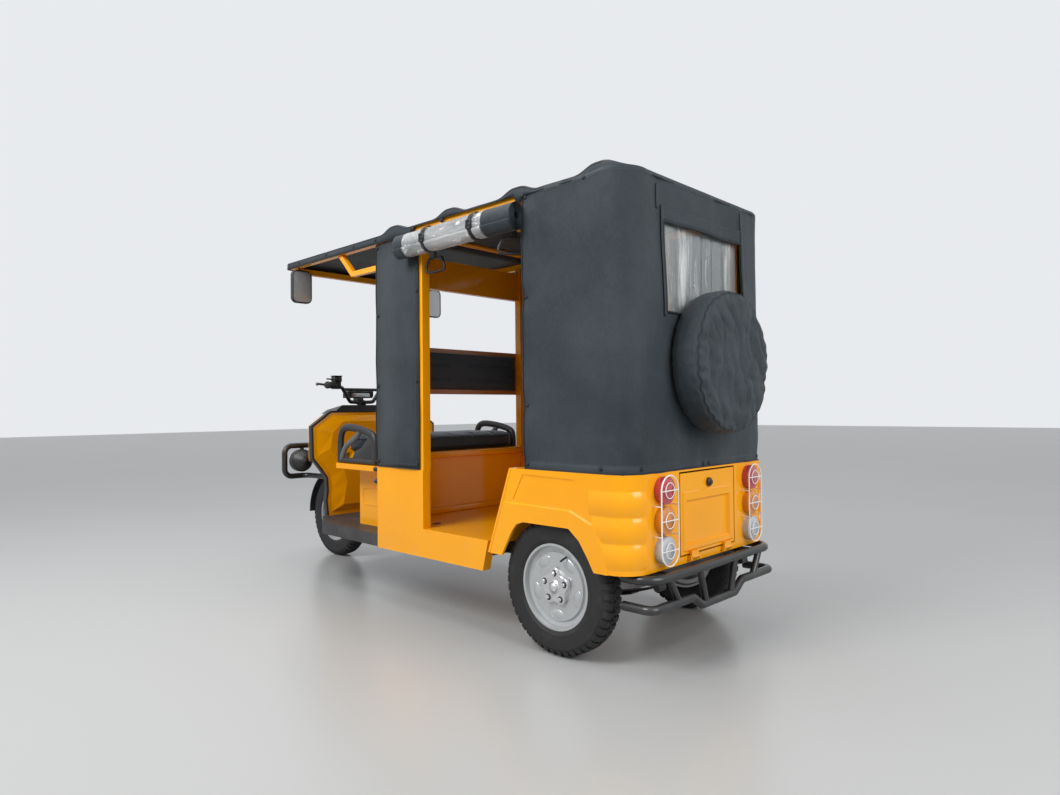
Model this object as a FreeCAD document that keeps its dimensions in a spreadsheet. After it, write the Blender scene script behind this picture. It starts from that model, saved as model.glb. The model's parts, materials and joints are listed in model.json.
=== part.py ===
import FreeCAD, Part
import math
import os
import re
import Sketcher
from FreeCAD import Placement, Rotation, Vector

# An electric three-wheeled auto rickshaw: two rear wheels on a leaf-sprung axle, one steered
# front wheel, a steel tub with pressed rear fenders, a tube frame and canvas over it.
# Sizes are in millimetres. X points forward, Y to the vehicle's left, Z up. Stations along X
# are counted from the rear axle, and every piece is then moved by the value rear_axle_x.

SIZES = [
    # alias, value, what it is
    ("wheel_base", 2230, "rear axle to front axle"),
    ("tyre_radius", 250, "outside of the tread"),
    ("tyre_width", 100, "across the sidewalls"),
    ("rim_radius", 166, "outside of the rim flange"),
    ("rim_width", 84, "across the rim flanges"),
    ("axle_stub_radius", 16, "rear wheel shaft"),
    ("front_axle_radius", 9, "front wheel spindle"),
    ("running_gap", 0.3, "between a shaft and what turns on it"),
    ("moving_gap", 6, "between a moving piece and its neighbour"),
    ("seat_gap", 0.3, "between a soft piece and what carries it"),
    ("body_width", 970, "over the side panels"),
    ("tyre_inset", 10, "rear tyres inside the side panels"),
    ("wheel_track", "=body_width - tyre_width - tyre_inset * 2", "between the middles of the rear tyres"),
    ("wall", 40, "pillar tube and side wall thickness"),
    ("panel_sheet", 4, "pressed steel panel"),
    ("canvas_sheet", 3, "canvas"),
    ("floor_top", 381, "cabin floor above the ground"),
    ("floor_sheet", 6, "floor plate"),
    ("sill_bottom", 257, "lower edge of the side skirt"),
    ("sill_rear_top", 335, "rear end of the skirt at floor height, ahead of the axle"),
    ("sill_rear_bottom", 367, "rear end of the skirt at its lower edge"),
    ("rear_face", 353, "tail panel behind the axle"),
    ("corner_radius", 88, "rear corners of tub and canvas"),
    ("tub_bottom", 340, "lower edge of fenders and tail panel"),
    ("canvas_bottom", 676, "lower edge of the rear canvas"),
    ("canvas_front", 122, "front edge of the rear canvas"),
    ("strip_bottom", 638, "top of the low side panel"),
    ("door_post", 751, "rear face of the door post"),
    ("partition", 1100, "front face of the partition"),
    ("partition_thickness", 30, "partition wall and header"),
    ("eave_height", 1720, "top of the canvas along the side"),
    ("roof_front", 1950, "front edge of the roof"),
    ("rail_tube", 30, "roof tubes"),
    ("front_rail_drop", 20, "front roof rail below the side rails"),
    ("front_flap", 65, "canvas hanging over the front rail"),
    ("bow_first", -245, "rearmost roof bow"),
    ("bow_pitch", 398, "between roof bows"),
    ("bow_count", 4, "roof bows"),
    ("bow_height", 25, "roof bow above the side rails"),
    ("bow_swell", 75, "half length of the canvas swelling over a bow"),
    ("fender_proud", 12, "fender outside the side panels"),
    ("arch_front", 238, "front foot of the wheel arch"),
    ("arch_rear", 214, "rear foot of the wheel arch, behind the axle"),
    ("arch_top", 478, "wheel arch above the ground"),
    ("arch_band", 70, "raised band over the wheel arch"),
    ("arch_band_proud", 7, "that band outside the fender"),
    ("rib_rise", 7, "pressed ribs on the fender's corner"),
    ("rib_top", 622, "upper edge of the highest rib"),
    ("rib_pitch", 89, "between the ribs"),
    ("rib_count", 3, "pressed ribs"),
    ("fender_front_top", 200, "front edge of the fender at its top"),
    ("fender_front_bottom", 322, "front edge of the fender at its foot"),
    ("wheelhouse_inner", "=wheel_track / 2 - tyre_width / 2 - 23", "inner wall of the wheelhouse from the middle"),
    ("header_bottom", "=eave_height - 213", "lower edge of the partition header"),
    ("header_top", "=eave_height - 60", "upper edge of the partition header"),
    ("backrest_bottom", 980, "driver backrest"),
    ("backrest_top", 1213, "driver backrest"),
    ("backrest_depth", 62, "driver backrest front to back"),
    ("rear_backrest_bottom", 800, "rear backrest"),
    ("rear_backrest_height", 380, "rear backrest"),
    ("seat_rail_top", 690, "partition wall's upper edge"),
    ("seat_ledge_top", 636, "ledge that carries the armrests"),
    ("seat_ledge", 26, "thickness of that ledge"),
    ("seat_front", 1475, "front edge of the driver's ledge"),
    ("seat_box_front", 1460, "front of the box below it"),
    ("seat_box_half", 350, "half width of the box below it"),
    ("cushion_top", 776, "driver cushion"),
    ("footboard_top", 315, "driver's footboard"),
    ("footboard_corner", 1640, "where the footboard starts to narrow"),
    ("cowl_rear", 1822, "rear face of the leg shield"),
    ("cowl_sheet", 5, "wall of the cowl"),
    ("shield_thickness", 28, "leg shield"),
    ("cowl_top", 898, "upper edge of the leg shield"),
    ("cowl_shoulder", 815, "widest point of the leg shield"),
    ("cowl_waist", 640, "lower end of the wide part"),
    ("cowl_half", 422, "half width at the shoulder"),
    ("cowl_top_half", 305, "half width at the top"),
    ("cowl_foot_half", 328, "half width at the foot"),
    ("nose_front", 2150, "front of the nose"),
    ("nose_half", 265, "half width of the nose front"),
    ("nose_bottom", 625, "lower edge of the nose"),
    ("nose_front_top", 850, "top of the nose front"),
    ("rake", 18, "steering axis leaning back, degrees"),
    ("steer_top_x", 1990, "steering axis at the handlebar clamp"),
    ("steer_top_z", 930, "handlebar clamp above the ground"),
    ("head_bottom", 640, "lower end of the head tube"),
    ("head_top", 876, "upper end of the head tube"),
    ("stem_reach", 58, "stem above the head tube"),
    ("bar_half", 331, "handlebar ends from the middle"),
    ("bar_bend_half", 190, "where the handlebar's level part ends"),
    ("bar_rise", 100, "handlebar above its clamp"),
    ("bar_sweep", 176, "handlebar ends behind the clamp"),
    ("bar_brace_half", 125, "handlebar's cross brace"),
    ("steerer_radius", 14, "fork stem"),
    ("head_wall", 6, "head tube wall"),
    ("fork_half", "=tyre_width / 2 + fork_leg_radius + 7", "fork leg from the middle"),
    ("fork_leg_radius", 15, "fork leg"),
    ("mudguard_gap", 18, "front mudguard over the tyre"),
    ("mudguard_sheet", 4, "front mudguard"),
    ("crown_height", "=tyre_radius * 2 + mudguard_gap + mudguard_sheet + 44", "fork crown above the ground"),
    ("spare_height", 1066, "middle of the spare wheel"),
    ("spare_radius", 268, "spare wheel in its cover"),
    ("spare_depth", 135, "covered spare wheel front to back"),
    ("spare_standoff", 12, "cover behind the rear canvas"),
    ("lamp_radius", 48, "round tail lamps"),
    ("lamp_column", "=body_width / 2 - 173", "tail lamps from the middle"),
    ("lamp_top", 616, "red lamp"),
    ("lamp_pitch", 103, "between tail lamps"),
    ("lamp_depth", 24, "tail lamp standing out"),
    ("hatch_half", 194, "half width of the tail hatch"),
    ("hatch_bottom", 371, "lower edge of the tail hatch"),
    ("hatch_top", 663, "upper edge of the tail hatch"),
    ("bumper_tube", 16, "radius of the rear bumper tubes"),
    ("bumper_rear", 402, "middle of the rear bumper behind the axle"),
    ("bumper_half", "=body_width / 2 - 55", "half width of the rear bumper"),
    ("bumper_upper", 323, "upper bumper tube"),
    ("bumper_lower", 228, "lower bumper tube"),
    ("bumper_dip", 190, "middle of the lower bumper tube"),
    ("guard_tube", 16, "radius of the front guard tubes"),
    ("guard_front", 2230, "front guard station"),
    ("guard_half", 372, "half width of the front guard"),
    ("guard_top", 693, "upper tube of the front guard"),
    ("guard_bottom", 512, "lower tube of the front guard"),
    ("headlamp_radius", 66, "round headlamps"),
    ("headlamp_y", 262, "headlamp from the middle"),
    ("headlamp_z", 602, "headlamp above the ground"),
    ("roll_radius", 45, "rolled side curtain"),
    ("roll_y", "=body_width / 2 + roll_radius + seat_gap", "rolled side curtain from the middle"),
    ("roll_z", "=eave_height - 84", "rolled side curtain above the ground"),
    ("roll_rear", 112, "rear end of the rolled curtain"),
    ("roll_front", 850, "front end of the rolled curtain"),
    ("spring_room", 75, "inner side of a rear tyre to the chassis rail, where the leaf spring stands"),
    ("chassis_half", "=wheel_track / 2 - tyre_width / 2 - spring_room", "chassis rails from the middle"),
    ("chassis_tube", 40, "chassis rail width"),
    ("chassis_bottom", 300, "underside of the chassis rails"),
    ("chassis_height", 50, "chassis rails"),
    ("mirror_x", 1866, "mirror station"),
    ("mirror_y", "=body_width / 2 - 29", "mirror from the middle"),
    ("mirror_z", "=eave_height - 137", "mirror middle above the ground"),
    ("mirror_width", 118, "mirror head"),
    ("mirror_height", 180, "mirror head"),
]

doc = FreeCAD.newDocument("AutoRickshaw")
sheet = doc.addObject("Spreadsheet::Sheet", "Sizes")
for row, (alias, value, note) in enumerate(SIZES, start=1):
    sheet.set("A%d" % row, alias)
    sheet.set("B%d" % row, str(value))
    sheet.set("C%d" % row, note)
    sheet.setAlias("B%d" % row, alias)
ORIGIN_ROW = len(SIZES) + 1
sheet.set("A%d" % ORIGIN_ROW, "rear_axle_x")
sheet.set("B%d" % ORIGIN_ROW, "=-(wheel_base + tyre_radius + mudguard_gap + mudguard_sheet"
          " - rear_face - spare_standoff - spare_depth) / 2")
sheet.setAlias("B%d" % ORIGIN_ROW, "rear_axle_x")
doc.recompute()

ALIASES = {alias for alias, value, note in SIZES} | {"rear_axle_x"}
PARTS = []


def size(alias):
    """The number that the sheet holds for one named size."""
    return float(sheet.get(alias))


def bind(thing, prop, text):
    """Tie a property to an expression written with the sheet's names."""
    named = re.sub(r"[a-z_]+", lambda m: "Sizes." + m.group(0) if m.group(0) in ALIASES else m.group(0), str(text))
    thing.setExpression(prop, named)


def place(thing, x="0", y="0", z="0"):
    bind(thing, ".Placement.Base.x", x)
    bind(thing, ".Placement.Base.y", y)
    bind(thing, ".Placement.Base.z", z)
    return thing


def block(name, x, y, z, long, wide, high):
    """A box from its low corner."""
    box = doc.addObject("Part::Box", name)
    bind(box, "Length", long)
    bind(box, "Width", wide)
    bind(box, "Height", high)
    return place(box, x, y, z)


def rod(name, x, y, z, radius, height, axis=Vector(0, 0, 1)):
    """A cylinder from the middle of its first end, along an axis."""
    cylinder = doc.addObject("Part::Cylinder", name)
    bind(cylinder, "Radius", radius)
    bind(cylinder, "Height", height)
    cylinder.Placement = Placement(Vector(), Rotation(Vector(0, 0, 1), axis))
    return place(cylinder, x, y, z)


def joined(name, things):
    if len(things) == 1:
        return things[0]
    fused = doc.addObject("Part::MultiFuse", name)
    fused.Shapes = things
    return fused


def trimmed(name, base, tools):
    cut = doc.addObject("Part::Cut", name)
    cut.Base = base
    cut.Tool = joined(name + "Tools", tools)
    return cut


def grouped(name, things):
    """Like pieces that don't touch, kept as separate solids of one node."""
    group = doc.addObject("Part::Compound", name)
    group.Links = things
    return group


def mirrored(name, thing):
    other = doc.addObject("Part::Mirroring", name)
    other.Source = thing
    other.Normal = Vector(0, 1, 0)
    return other


def outline(name, plane, corners, low, thickness):
    """A polygon sketch whose corners are bound to the sheet, pushed out to a plate.

    plane "side" draws in X and Z and pushes along +Y from low; "front" draws in Y and Z and
    pushes along +X; "plan" draws in X and Y and pushes along +Z.
    """
    turns = {"side": Rotation(Vector(1, 0, 0), Vector(0, 0, 1), Vector(0, -1, 0)),
             "front": Rotation(Vector(0, 1, 0), Vector(0, 0, 1), Vector(1, 0, 0)),
             "plan": Rotation()}
    pushes = {"side": (Vector(0, 1, 0), ".Placement.Base.y"), "front": (Vector(1, 0, 0), ".Placement.Base.x"),
              "plan": (Vector(0, 0, 1), ".Placement.Base.z")}
    drawing = doc.addObject("Sketcher::SketchObject", name + "Outline")
    drawing.Placement = Placement(Vector(), turns[plane])
    push, base_axis = pushes[plane]
    bind(drawing, base_axis, low)
    count = len(corners)
    guess = [Vector(evaluate(u), evaluate(w), 0) for u, w in corners]
    for index in range(count):
        drawing.addGeometry(Part.LineSegment(guess[index], guess[(index + 1) % count]), False)
    for index in range(count):
        drawing.addConstraint(Sketcher.Constraint("Coincident", index, 2, (index + 1) % count, 1))
    for index, (u, w) in enumerate(corners):
        for kind, text, value in (("DistanceX", u, guess[index].x), ("DistanceY", w, guess[index].y)):
            number = drawing.addConstraint(Sketcher.Constraint(kind, -1, 1, index, 1, value))
            bind(drawing, "Constraints[%d]" % number, text)
    plate = doc.addObject("Part::Extrusion", name)
    plate.Base = drawing
    plate.DirMode = "Custom"
    plate.Dir = push
    plate.Solid = True
    bind(plate, "LengthFwd", thickness)
    return plate


def evaluate(text):
    """The number of an expression in the sheet's names, for a sketch's first guess."""
    return float(sheet.evalExpression(str(text))) if not isinstance(text, (int, float)) else float(text)


def shaped(name, shape):
    """A form that only Part's own functions make."""
    feature = doc.addObject("Part::Feature", name)
    feature.Shape = shape
    return feature


def node(label, thing):
    """Name a finished piece and move it from stations to the part's own frame."""
    piece = grouped(label, [thing])
    piece.Label = label
    bind(piece, ".Placement.Base.x", "rear_axle_x")
    PARTS.append(piece)
    return piece


def tube_path(points, bend):
    """Straight runs through the points, with a tangent arc of the bend radius at each corner."""
    edges = []
    start = points[0]
    for index in range(1, len(points) - 1):
        corner = points[index]
        back = (start - corner).normalize()
        ahead = (points[index + 1] - corner).normalize()
        half = math.acos(max(-1.0, min(1.0, back.dot(ahead)))) / 2
        reach = bend / math.tan(half)
        bisector = (back + ahead).normalize()
        first = corner + back * reach
        last = corner + ahead * reach
        middle = corner + bisector * (bend / math.sin(half) - bend)
        edges.append(Part.LineSegment(start, first).toShape())
        edges.append(Part.Arc(first, middle, last).toShape())
        start = last
    edges.append(Part.LineSegment(start, points[-1]).toShape())
    return Part.Wire(edges)


def tube(points, radius, bend):
    """A bent round bar, solid as its weld-closed ends make it look."""
    path = tube_path(points, bend)
    direction = (points[1] - points[0]).normalize()
    section = Part.Wire([Part.Circle(points[0], direction, radius).toShape()])
    return path.makePipeShell([section], True, True)


def pair(label, thing):
    """A left piece and its mirrored right piece, as two nodes."""
    left = node(label + "_left", thing)
    right = mirrored(label + "Right", left)
    right.Label = label + "_right"
    PARTS.append(right)


def both(name, thing):
    """A left piece and its mirrored right piece, as two solids of one node."""
    return grouped(name, [thing, mirrored(name + "Right", thing)])


# Chassis: two rails, cross tubes, and the head tube on its two neck tubes
rail_sides = ("chassis_half - chassis_tube / 2", "-chassis_half - chassis_tube / 2")
rails = [block("ChassisRail%d" % index, "-rear_face + wall", y, "chassis_bottom",
               "partition + rear_face - wall", "chassis_tube", "chassis_height")
         for index, y in enumerate(rail_sides)]
front_rails = [block("FrontChassisRail%d" % index, "partition - chassis_tube", y, "sill_bottom",
                     "cowl_rear + shield_thickness + chassis_tube * 2 - partition", "chassis_tube",
                     "footboard_top - floor_sheet - seat_gap - sill_bottom")
               for index, y in enumerate(rail_sides)]
neck_base = block("NeckBase", "cowl_rear + shield_thickness", "-chassis_half", "sill_bottom", "chassis_tube",
                  "chassis_half * 2", "footboard_top - floor_sheet - seat_gap - sill_bottom")
rails += front_rails + [neck_base]
cross_stations = ("-rear_face + wall", "arch_front + wall", "door_post", "partition - wall")
crossings = [block("ChassisCross%d" % index, x, "-chassis_half", "chassis_bottom", "chassis_tube",
                   "chassis_half * 2", "chassis_height") for index, x in enumerate(cross_stations)]
outriggers = [block("Outrigger%d%d" % (index, side), x, y, "chassis_bottom", "chassis_tube",
                    "body_width / 2 - wall - chassis_half", "chassis_height")
              for index, x in enumerate(("arch_front + wall * 4", "door_post", "partition - wall"))
              for side, y in enumerate(("chassis_half", "-body_width / 2 + wall"))]
lean = math.radians(size("rake"))
steer_axis = Vector(-math.sin(lean), 0, math.cos(lean))
steer_top = Vector(size("steer_top_x"), 0, size("steer_top_z"))


def on_axis(height):
    """The point of the steering axis at a height above the ground."""
    return steer_top + steer_axis * ((height - steer_top.z) / steer_axis.z)


head_low = on_axis(size("head_bottom"))
head_length = (size("head_top") - size("head_bottom")) / steer_axis.z
head_inner = size("steerer_radius") + size("running_gap")
head_outer = head_inner + size("head_wall")
head_tube = Part.makeCylinder(head_outer, head_length, head_low, steer_axis).cut(
    Part.makeCylinder(head_inner, head_length, head_low, steer_axis))
neck_foot = Vector(size("cowl_rear") + size("shield_thickness") + size("chassis_tube") / 2, 0, size("sill_bottom"))
neck_radius = size("chassis_tube") / 2 - 2
neck_top = on_axis(size("head_bottom") + 120) - Vector(head_outer + neck_radius / 2, 0, 0)
neck_knee = Vector(neck_foot.x, 0, size("nose_bottom") - 60)
neck = tube([neck_foot, neck_knee, neck_top], neck_radius, 60).cut(
    Part.makeCylinder(head_inner + 1, head_length, head_low, steer_axis))
node("chassis_frame", joined("Chassis", rails + crossings + outriggers + [
    shaped("NeckAndHead", head_tube.fuse(neck))]))

# Floor plate between the partition and the tail, open over the rear axle's middle from below
node("floor_pan", joined("Floor", [
    block("FloorPlate", "-rear_face + wall", "-wheelhouse_inner + panel_sheet * 2", "floor_top - floor_sheet",
          "sill_rear_top + rear_face - wall", "(wheelhouse_inner - panel_sheet * 2) * 2", "floor_sheet"),
    block("FloorPlateFront", "sill_rear_top", "-body_width / 2 + wall", "floor_top - floor_sheet",
          "partition - partition_thickness - sill_rear_top", "body_width - wall * 2", "floor_sheet")] + [
    block("FloorRib%d" % index, x, "-body_width / 2 + wall", "chassis_bottom + chassis_height", "chassis_tube",
          "body_width - wall * 2", "floor_top - floor_sheet - chassis_bottom - chassis_height")
    for index, x in enumerate(("arch_front + wall * 4", "door_post", "partition - wall - partition_thickness"))]))

# Skirt under the door opening, and the low side panel between the door post and the front pillar
pair("sill", outline("Sill", "side", [
    ("sill_rear_bottom", "sill_bottom"), ("partition", "sill_bottom"), ("partition", "floor_top"),
    ("sill_rear_top", "floor_top")], "body_width / 2 - wall", "wall"))
pair("side_panel", outline("SidePanel", "side", [
    ("door_post", "floor_top"), ("partition", "floor_top"), ("partition", "strip_bottom"),
    ("door_post", "strip_bottom")], "body_width / 2 - wall", "wall"))

# Pillars: front, door, canvas front and rear corner
pillar_y = "body_width / 2 - canvas_sheet - seat_gap * 2 - wall"
rail_under = "eave_height - canvas_sheet - seat_gap - rail_tube"
pillar_rows = [
    # station of the rear face, foot height
    ("partition - wall", "strip_bottom"),
    ("door_post", "strip_bottom"),
    ("canvas_front - wall", "canvas_bottom"),
    ("-rear_face + corner_radius", "canvas_bottom"),
]
pillars = joined("PillarRow", [block("Pillar%d" % index, x, pillar_y, foot, "wall", "wall",
                                     "(%s) - (%s)" % (rail_under, foot))
                               for index, (x, foot) in enumerate(pillar_rows)])
node("pillars", both("Pillars", pillars))

# Roof: side rails and front rail, then bows that lift the canvas, and flat stiffeners
rail_y = "body_width / 2 - canvas_sheet - seat_gap * 2 - rail_tube"
side_rails = [block("RoofRail%d" % index, "-rear_face + corner_radius", y, rail_under,
                    "roof_front + rear_face - corner_radius - canvas_sheet - seat_gap * 2", "rail_tube", "rail_tube")
              for index, y in enumerate((rail_y, "-(%s) - rail_tube" % rail_y))]
front_rail = block("FrontRail", "roof_front - canvas_sheet - seat_gap * 2 - rail_tube", "-(%s)" % rail_y,
                   "%s - front_rail_drop" % rail_under, "rail_tube", "(%s) * 2" % rail_y, "rail_tube")
rear_rail = block("RearRail", "-rear_face + corner_radius", "-(%s)" % rail_y, rail_under,
                  "rail_tube", "(%s) * 2" % rail_y, "rail_tube")
node("roof_rails", joined("RoofRails", side_rails + [front_rail, rear_rail]))
bow_z = size("eave_height") - size("canvas_sheet") - size("seat_gap")
bow_edge = size("body_width") / 2 - size("canvas_sheet") - size("seat_gap") * 2 - size("rail_tube") / 2
bow_radius = size("bow_height") / 2
bow_shapes = []
for index in range(int(size("bow_count"))):
    station = size("bow_first") + size("bow_pitch") * index
    bow_shapes.append(Part.makeCylinder(bow_radius, bow_edge * 2, Vector(station, -bow_edge, bow_z + bow_radius),
                                        Vector(0, 1, 0)))
node("roof_bows", shaped("RoofBows", Part.Compound(bow_shapes)))

def tub_plan(front, low, high, inset):
    """A block with the plan of the tub: straight sides, rounded rear corners."""
    half = size("body_width") / 2 - inset
    rear = -size("rear_face") + inset
    corner = size("corner_radius") - inset
    diagonal = corner * math.sqrt(0.5)
    left = half - corner
    edges = [
        Part.LineSegment(Vector(front, half, low), Vector(rear + corner, half, low)).toShape(),
        Part.Arc(Vector(rear + corner, half, low), Vector(rear + corner - diagonal, left + diagonal, low),
                 Vector(rear, left, low)).toShape(),
        Part.LineSegment(Vector(rear, left, low), Vector(rear, -left, low)).toShape(),
        Part.Arc(Vector(rear, -left, low), Vector(rear + corner - diagonal, -left - diagonal, low),
                 Vector(rear + corner, -half, low)).toShape(),
        Part.LineSegment(Vector(rear + corner, -half, low), Vector(front, -half, low)).toShape(),
        Part.LineSegment(Vector(front, -half, low), Vector(front, half, low)).toShape()]
    return Part.Face(Part.Wire(edges)).extrude(Vector(0, 0, high - low))


def round_tub(front, low, high, inset, thickness):
    """A wall of one thickness round the tail, open at the front."""
    return tub_plan(front, low, high, inset).cut(tub_plan(front + 1, low, high, inset + thickness))


# Canvas roof: one sheet that swells over the bows, with a flap down each side and the front
top_line = [Vector(size("roof_front"), 0, size("eave_height"))]
for index in reversed(range(int(size("bow_count")))):
    station = size("bow_first") + size("bow_pitch") * index
    crest = size("eave_height") + size("bow_height")
    top_line += [Vector(station + size("bow_swell"), 0, size("eave_height")), Vector(station + bow_radius, 0, crest),
                 Vector(station - bow_radius, 0, crest), Vector(station - size("bow_swell"), 0, size("eave_height"))]
top_line.append(Vector(-size("rear_face"), 0, size("eave_height")))
under_line = [point - Vector(0, 0, size("canvas_sheet")) for point in reversed(top_line)]
roof_half = size("body_width") / 2
roof_sheet = Part.Face(Part.makePolygon(top_line + under_line + top_line[:1])).extrude(
    Vector(0, roof_half * 2, 0))
roof_sheet.translate(Vector(0, -roof_half, 0))
flap_under = size("eave_height") - size("canvas_sheet")
roof_flap = size("rail_tube") + size("seat_gap") * 2
side_flaps = [Part.makeBox(size("roof_front") - size("canvas_front") - size("seat_gap"), size("canvas_sheet"), roof_flap,
                           Vector(size("canvas_front") + size("seat_gap"), y, flap_under - roof_flap))
              for y in (roof_half - size("canvas_sheet"), -roof_half)]
front_flap = Part.makeBox(size("canvas_sheet"), roof_half * 2, size("front_flap"),
                          Vector(size("roof_front") - size("canvas_sheet"), -roof_half,
                                 size("eave_height") - size("front_flap")))
roof_plan = tub_plan(size("roof_front"), size("eave_height") - size("front_flap"), size("eave_height") * 2, 0)
node("roof_canvas", shaped("RoofCanvas", roof_sheet.common(roof_plan).fuse(side_flaps + [front_flap])))


# Rear canvas round three sides, with the clear window cut in its back
window_half = 268
window_low = 1242
window_high = size("eave_height") - 164
rear_wall = round_tub(size("canvas_front"), size("canvas_bottom"), flap_under - size("seat_gap"), 0,
                      size("canvas_sheet"))
window_cut = Part.makeBox(size("corner_radius"), window_half * 2, window_high - window_low,
                          Vector(-size("rear_face") - 1, -window_half, window_low))
carrier_radius = 22
carrier_hole = Part.makeCylinder(carrier_radius + size("seat_gap"), size("corner_radius"),
                                 Vector(-size("rear_face") - 1, 0, size("spare_height")), Vector(1, 0, 0))
node("rear_canvas", shaped("RearCanvas", rear_wall.cut([window_cut, carrier_hole])))
window_lap = 12
node("rear_window", shaped("RearWindow", Part.makeBox(
    1.5, (window_half + window_lap) * 2, window_high - window_low + window_lap * 2,
    Vector(-size("rear_face") + size("canvas_sheet") + size("seat_gap"), -window_half - window_lap,
           window_low - window_lap))))

# Narrow canvas between the front pillar and the door post, and the rolled side curtain
strip = block("StripCanvas", "door_post + wall / 2", "body_width / 2 - canvas_sheet", "strip_bottom + seat_gap",
              "partition - door_post - wall / 2", "canvas_sheet",
              "eave_height - canvas_sheet * 2 - rail_tube - seat_gap * 4 - strip_bottom")
node("strip_canvas", both("StripCanvases", strip))
roll = rod("CurtainRoll", "roll_rear", "roll_y", "roll_z", "roll_radius", "roll_front - roll_rear", Vector(1, 0, 0))
node("curtain_rolls", both("CurtainRolls", roll))

# Fenders: outer skin round the rear corner, arch opening, front flange and wheelhouse
tub_front = size("fender_front_bottom") + size("wall")
tub_skin = round_tub(tub_front, size("tub_bottom"), size("canvas_bottom") - size("seat_gap"), -size("fender_proud"),
                     size("panel_sheet"))
fender_high = size("canvas_bottom") - size("seat_gap")
outside = size("body_width") / 2 + size("fender_proud")
tail_split = size("body_width") / 2 - size("corner_radius")
arch_line = [
    # X, Z of the wheel arch from its rear foot over to its front foot
    (-size("arch_rear"), size("tub_bottom")), (-size("arch_rear") + 24, size("tub_bottom") + 42),
    (-size("arch_rear") + 64, size("arch_top") - 38), (-size("arch_rear") + 112, size("arch_top")),
    (size("arch_front") - 116, size("arch_top")), (size("arch_front") - 80, size("arch_top") - 12),
    (size("arch_front") - 53, size("arch_top") - 44), (size("arch_front"), size("tub_bottom"))]
side_profile = [
    # X, Z: round the skin from the front foot, over the top, and back through the arch
    (size("fender_front_bottom"), size("tub_bottom")), (size("fender_front_top"), fender_high),
    (-size("rear_face") * 2, fender_high), (-size("rear_face") * 2, size("tub_bottom")),
] + arch_line



def side_prism(points, low, high):
    """A profile drawn in X and Z, pushed from one Y to another."""
    corners = [Vector(x, low, z) for x, z in points]
    return Part.Face(Part.makePolygon(corners + corners[:1])).extrude(Vector(0, high - low, 0))


skin = tub_skin.common(side_prism(side_profile, tail_split, outside + 1))
flange_slope = size("panel_sheet") * 1.06
front_flange = side_prism([
    (size("fender_front_bottom"), size("tub_bottom")), (size("fender_front_top"), fender_high),
    (size("fender_front_top") - flange_slope, fender_high),
    (size("fender_front_bottom") - flange_slope, size("tub_bottom"))],
    size("body_width") / 2 - size("wall"), outside - size("panel_sheet"))
house_radius = size("tyre_radius") + size("wall")
house_outer = Part.makeCylinder(house_radius + size("panel_sheet"), outside - size("wheelhouse_inner"),
                                Vector(0, size("wheelhouse_inner"), size("tyre_radius")), Vector(0, 1, 0))
house_inner = Part.makeCylinder(house_radius, outside - size("wheelhouse_inner") + 2,
                                Vector(0, size("wheelhouse_inner") - 1, size("tyre_radius")), Vector(0, 1, 0))
above_floor = side_prism([(-house_radius * 2, size("floor_top")), (house_radius * 2, size("floor_top")),
                          (house_radius * 2, fender_high), (-house_radius * 2, fender_high)],
                         size("wheelhouse_inner"), outside - size("panel_sheet"))
wheelhouse = house_outer.cut(house_inner).common(above_floor)
inner_wall = side_prism([
    (-size("rear_face") + size("panel_sheet"), size("floor_top")), (size("arch_front"), size("floor_top")),
    (size("fender_front_top") - flange_slope, fender_high), (-size("rear_face") + size("panel_sheet"), fender_high)],
    size("wheelhouse_inner") - size("panel_sheet"), size("wheelhouse_inner"))
shelf = tub_plan(size("fender_front_top") - flange_slope, fender_high - size("panel_sheet"), fender_high,
                 -size("fender_proud")).common(side_prism(
                     [(-size("rear_face") + size("panel_sheet"), 0), (size("fender_front_top"), 0),
                      (size("fender_front_top"), fender_high), (-size("rear_face") + size("panel_sheet"), fender_high)],
                     size("wheelhouse_inner") - size("panel_sheet"), outside))
fender = skin.fuse([front_flange, wheelhouse, inner_wall, shelf]).removeSplitter()

# Pressings of the fender: a band round the arch, ribs round the corner, and a flat recess
band_top = size("arch_top") + size("arch_band")
front_lean = (size("fender_front_bottom") - size("fender_front_top")) / (fender_high - size("tub_bottom"))
front_margin = 16
band_line = [
    # X, Z of the band's outer edge, from the rear foot over to the front foot
    (-size("arch_rear") - 61, size("tub_bottom")), (-size("arch_rear") - 49, size("tub_bottom") + 84),
    (-size("arch_rear") + 1, size("arch_top") + 24), (-size("arch_rear") + 104, band_top - 4),
    (size("arch_front") - 98, band_top),
    (size("fender_front_bottom") - front_lean * (band_top - size("tub_bottom")) - front_margin, band_top),
    (size("fender_front_bottom") - front_margin, size("tub_bottom"))]


def band_face(y, inset):
    """The band's outline at one Y, its outer edge drawn in by an inset towards the axle."""
    corners = []
    for x, z in band_line:
        away = Vector(x, 0, z - size("tyre_radius"))
        shift = Vector(away.x, 0, max(0, z - size("tub_bottom")))
        inward = shift * (inset / shift.Length) if shift.Length else Vector()
        corners.append(Vector(x, y, z) - inward)
    corners += [Vector(x, y, z) for x, z in reversed(arch_line)]
    return Part.makePolygon(corners + corners[:1])


band = Part.makeLoft([band_face(outside - 1, 0), band_face(outside + size("arch_band_proud"), size("arch_band_proud"))],
                     True, True)
corner_middle = Vector(-size("rear_face") + size("corner_radius"), tail_split, 0)
rib_half = size("rib_pitch") / 2 - 2
rib_fronts = [
    # X of each rib's front end, from the top down; the lower ones start inside the band
    -192, -205, -242]


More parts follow.
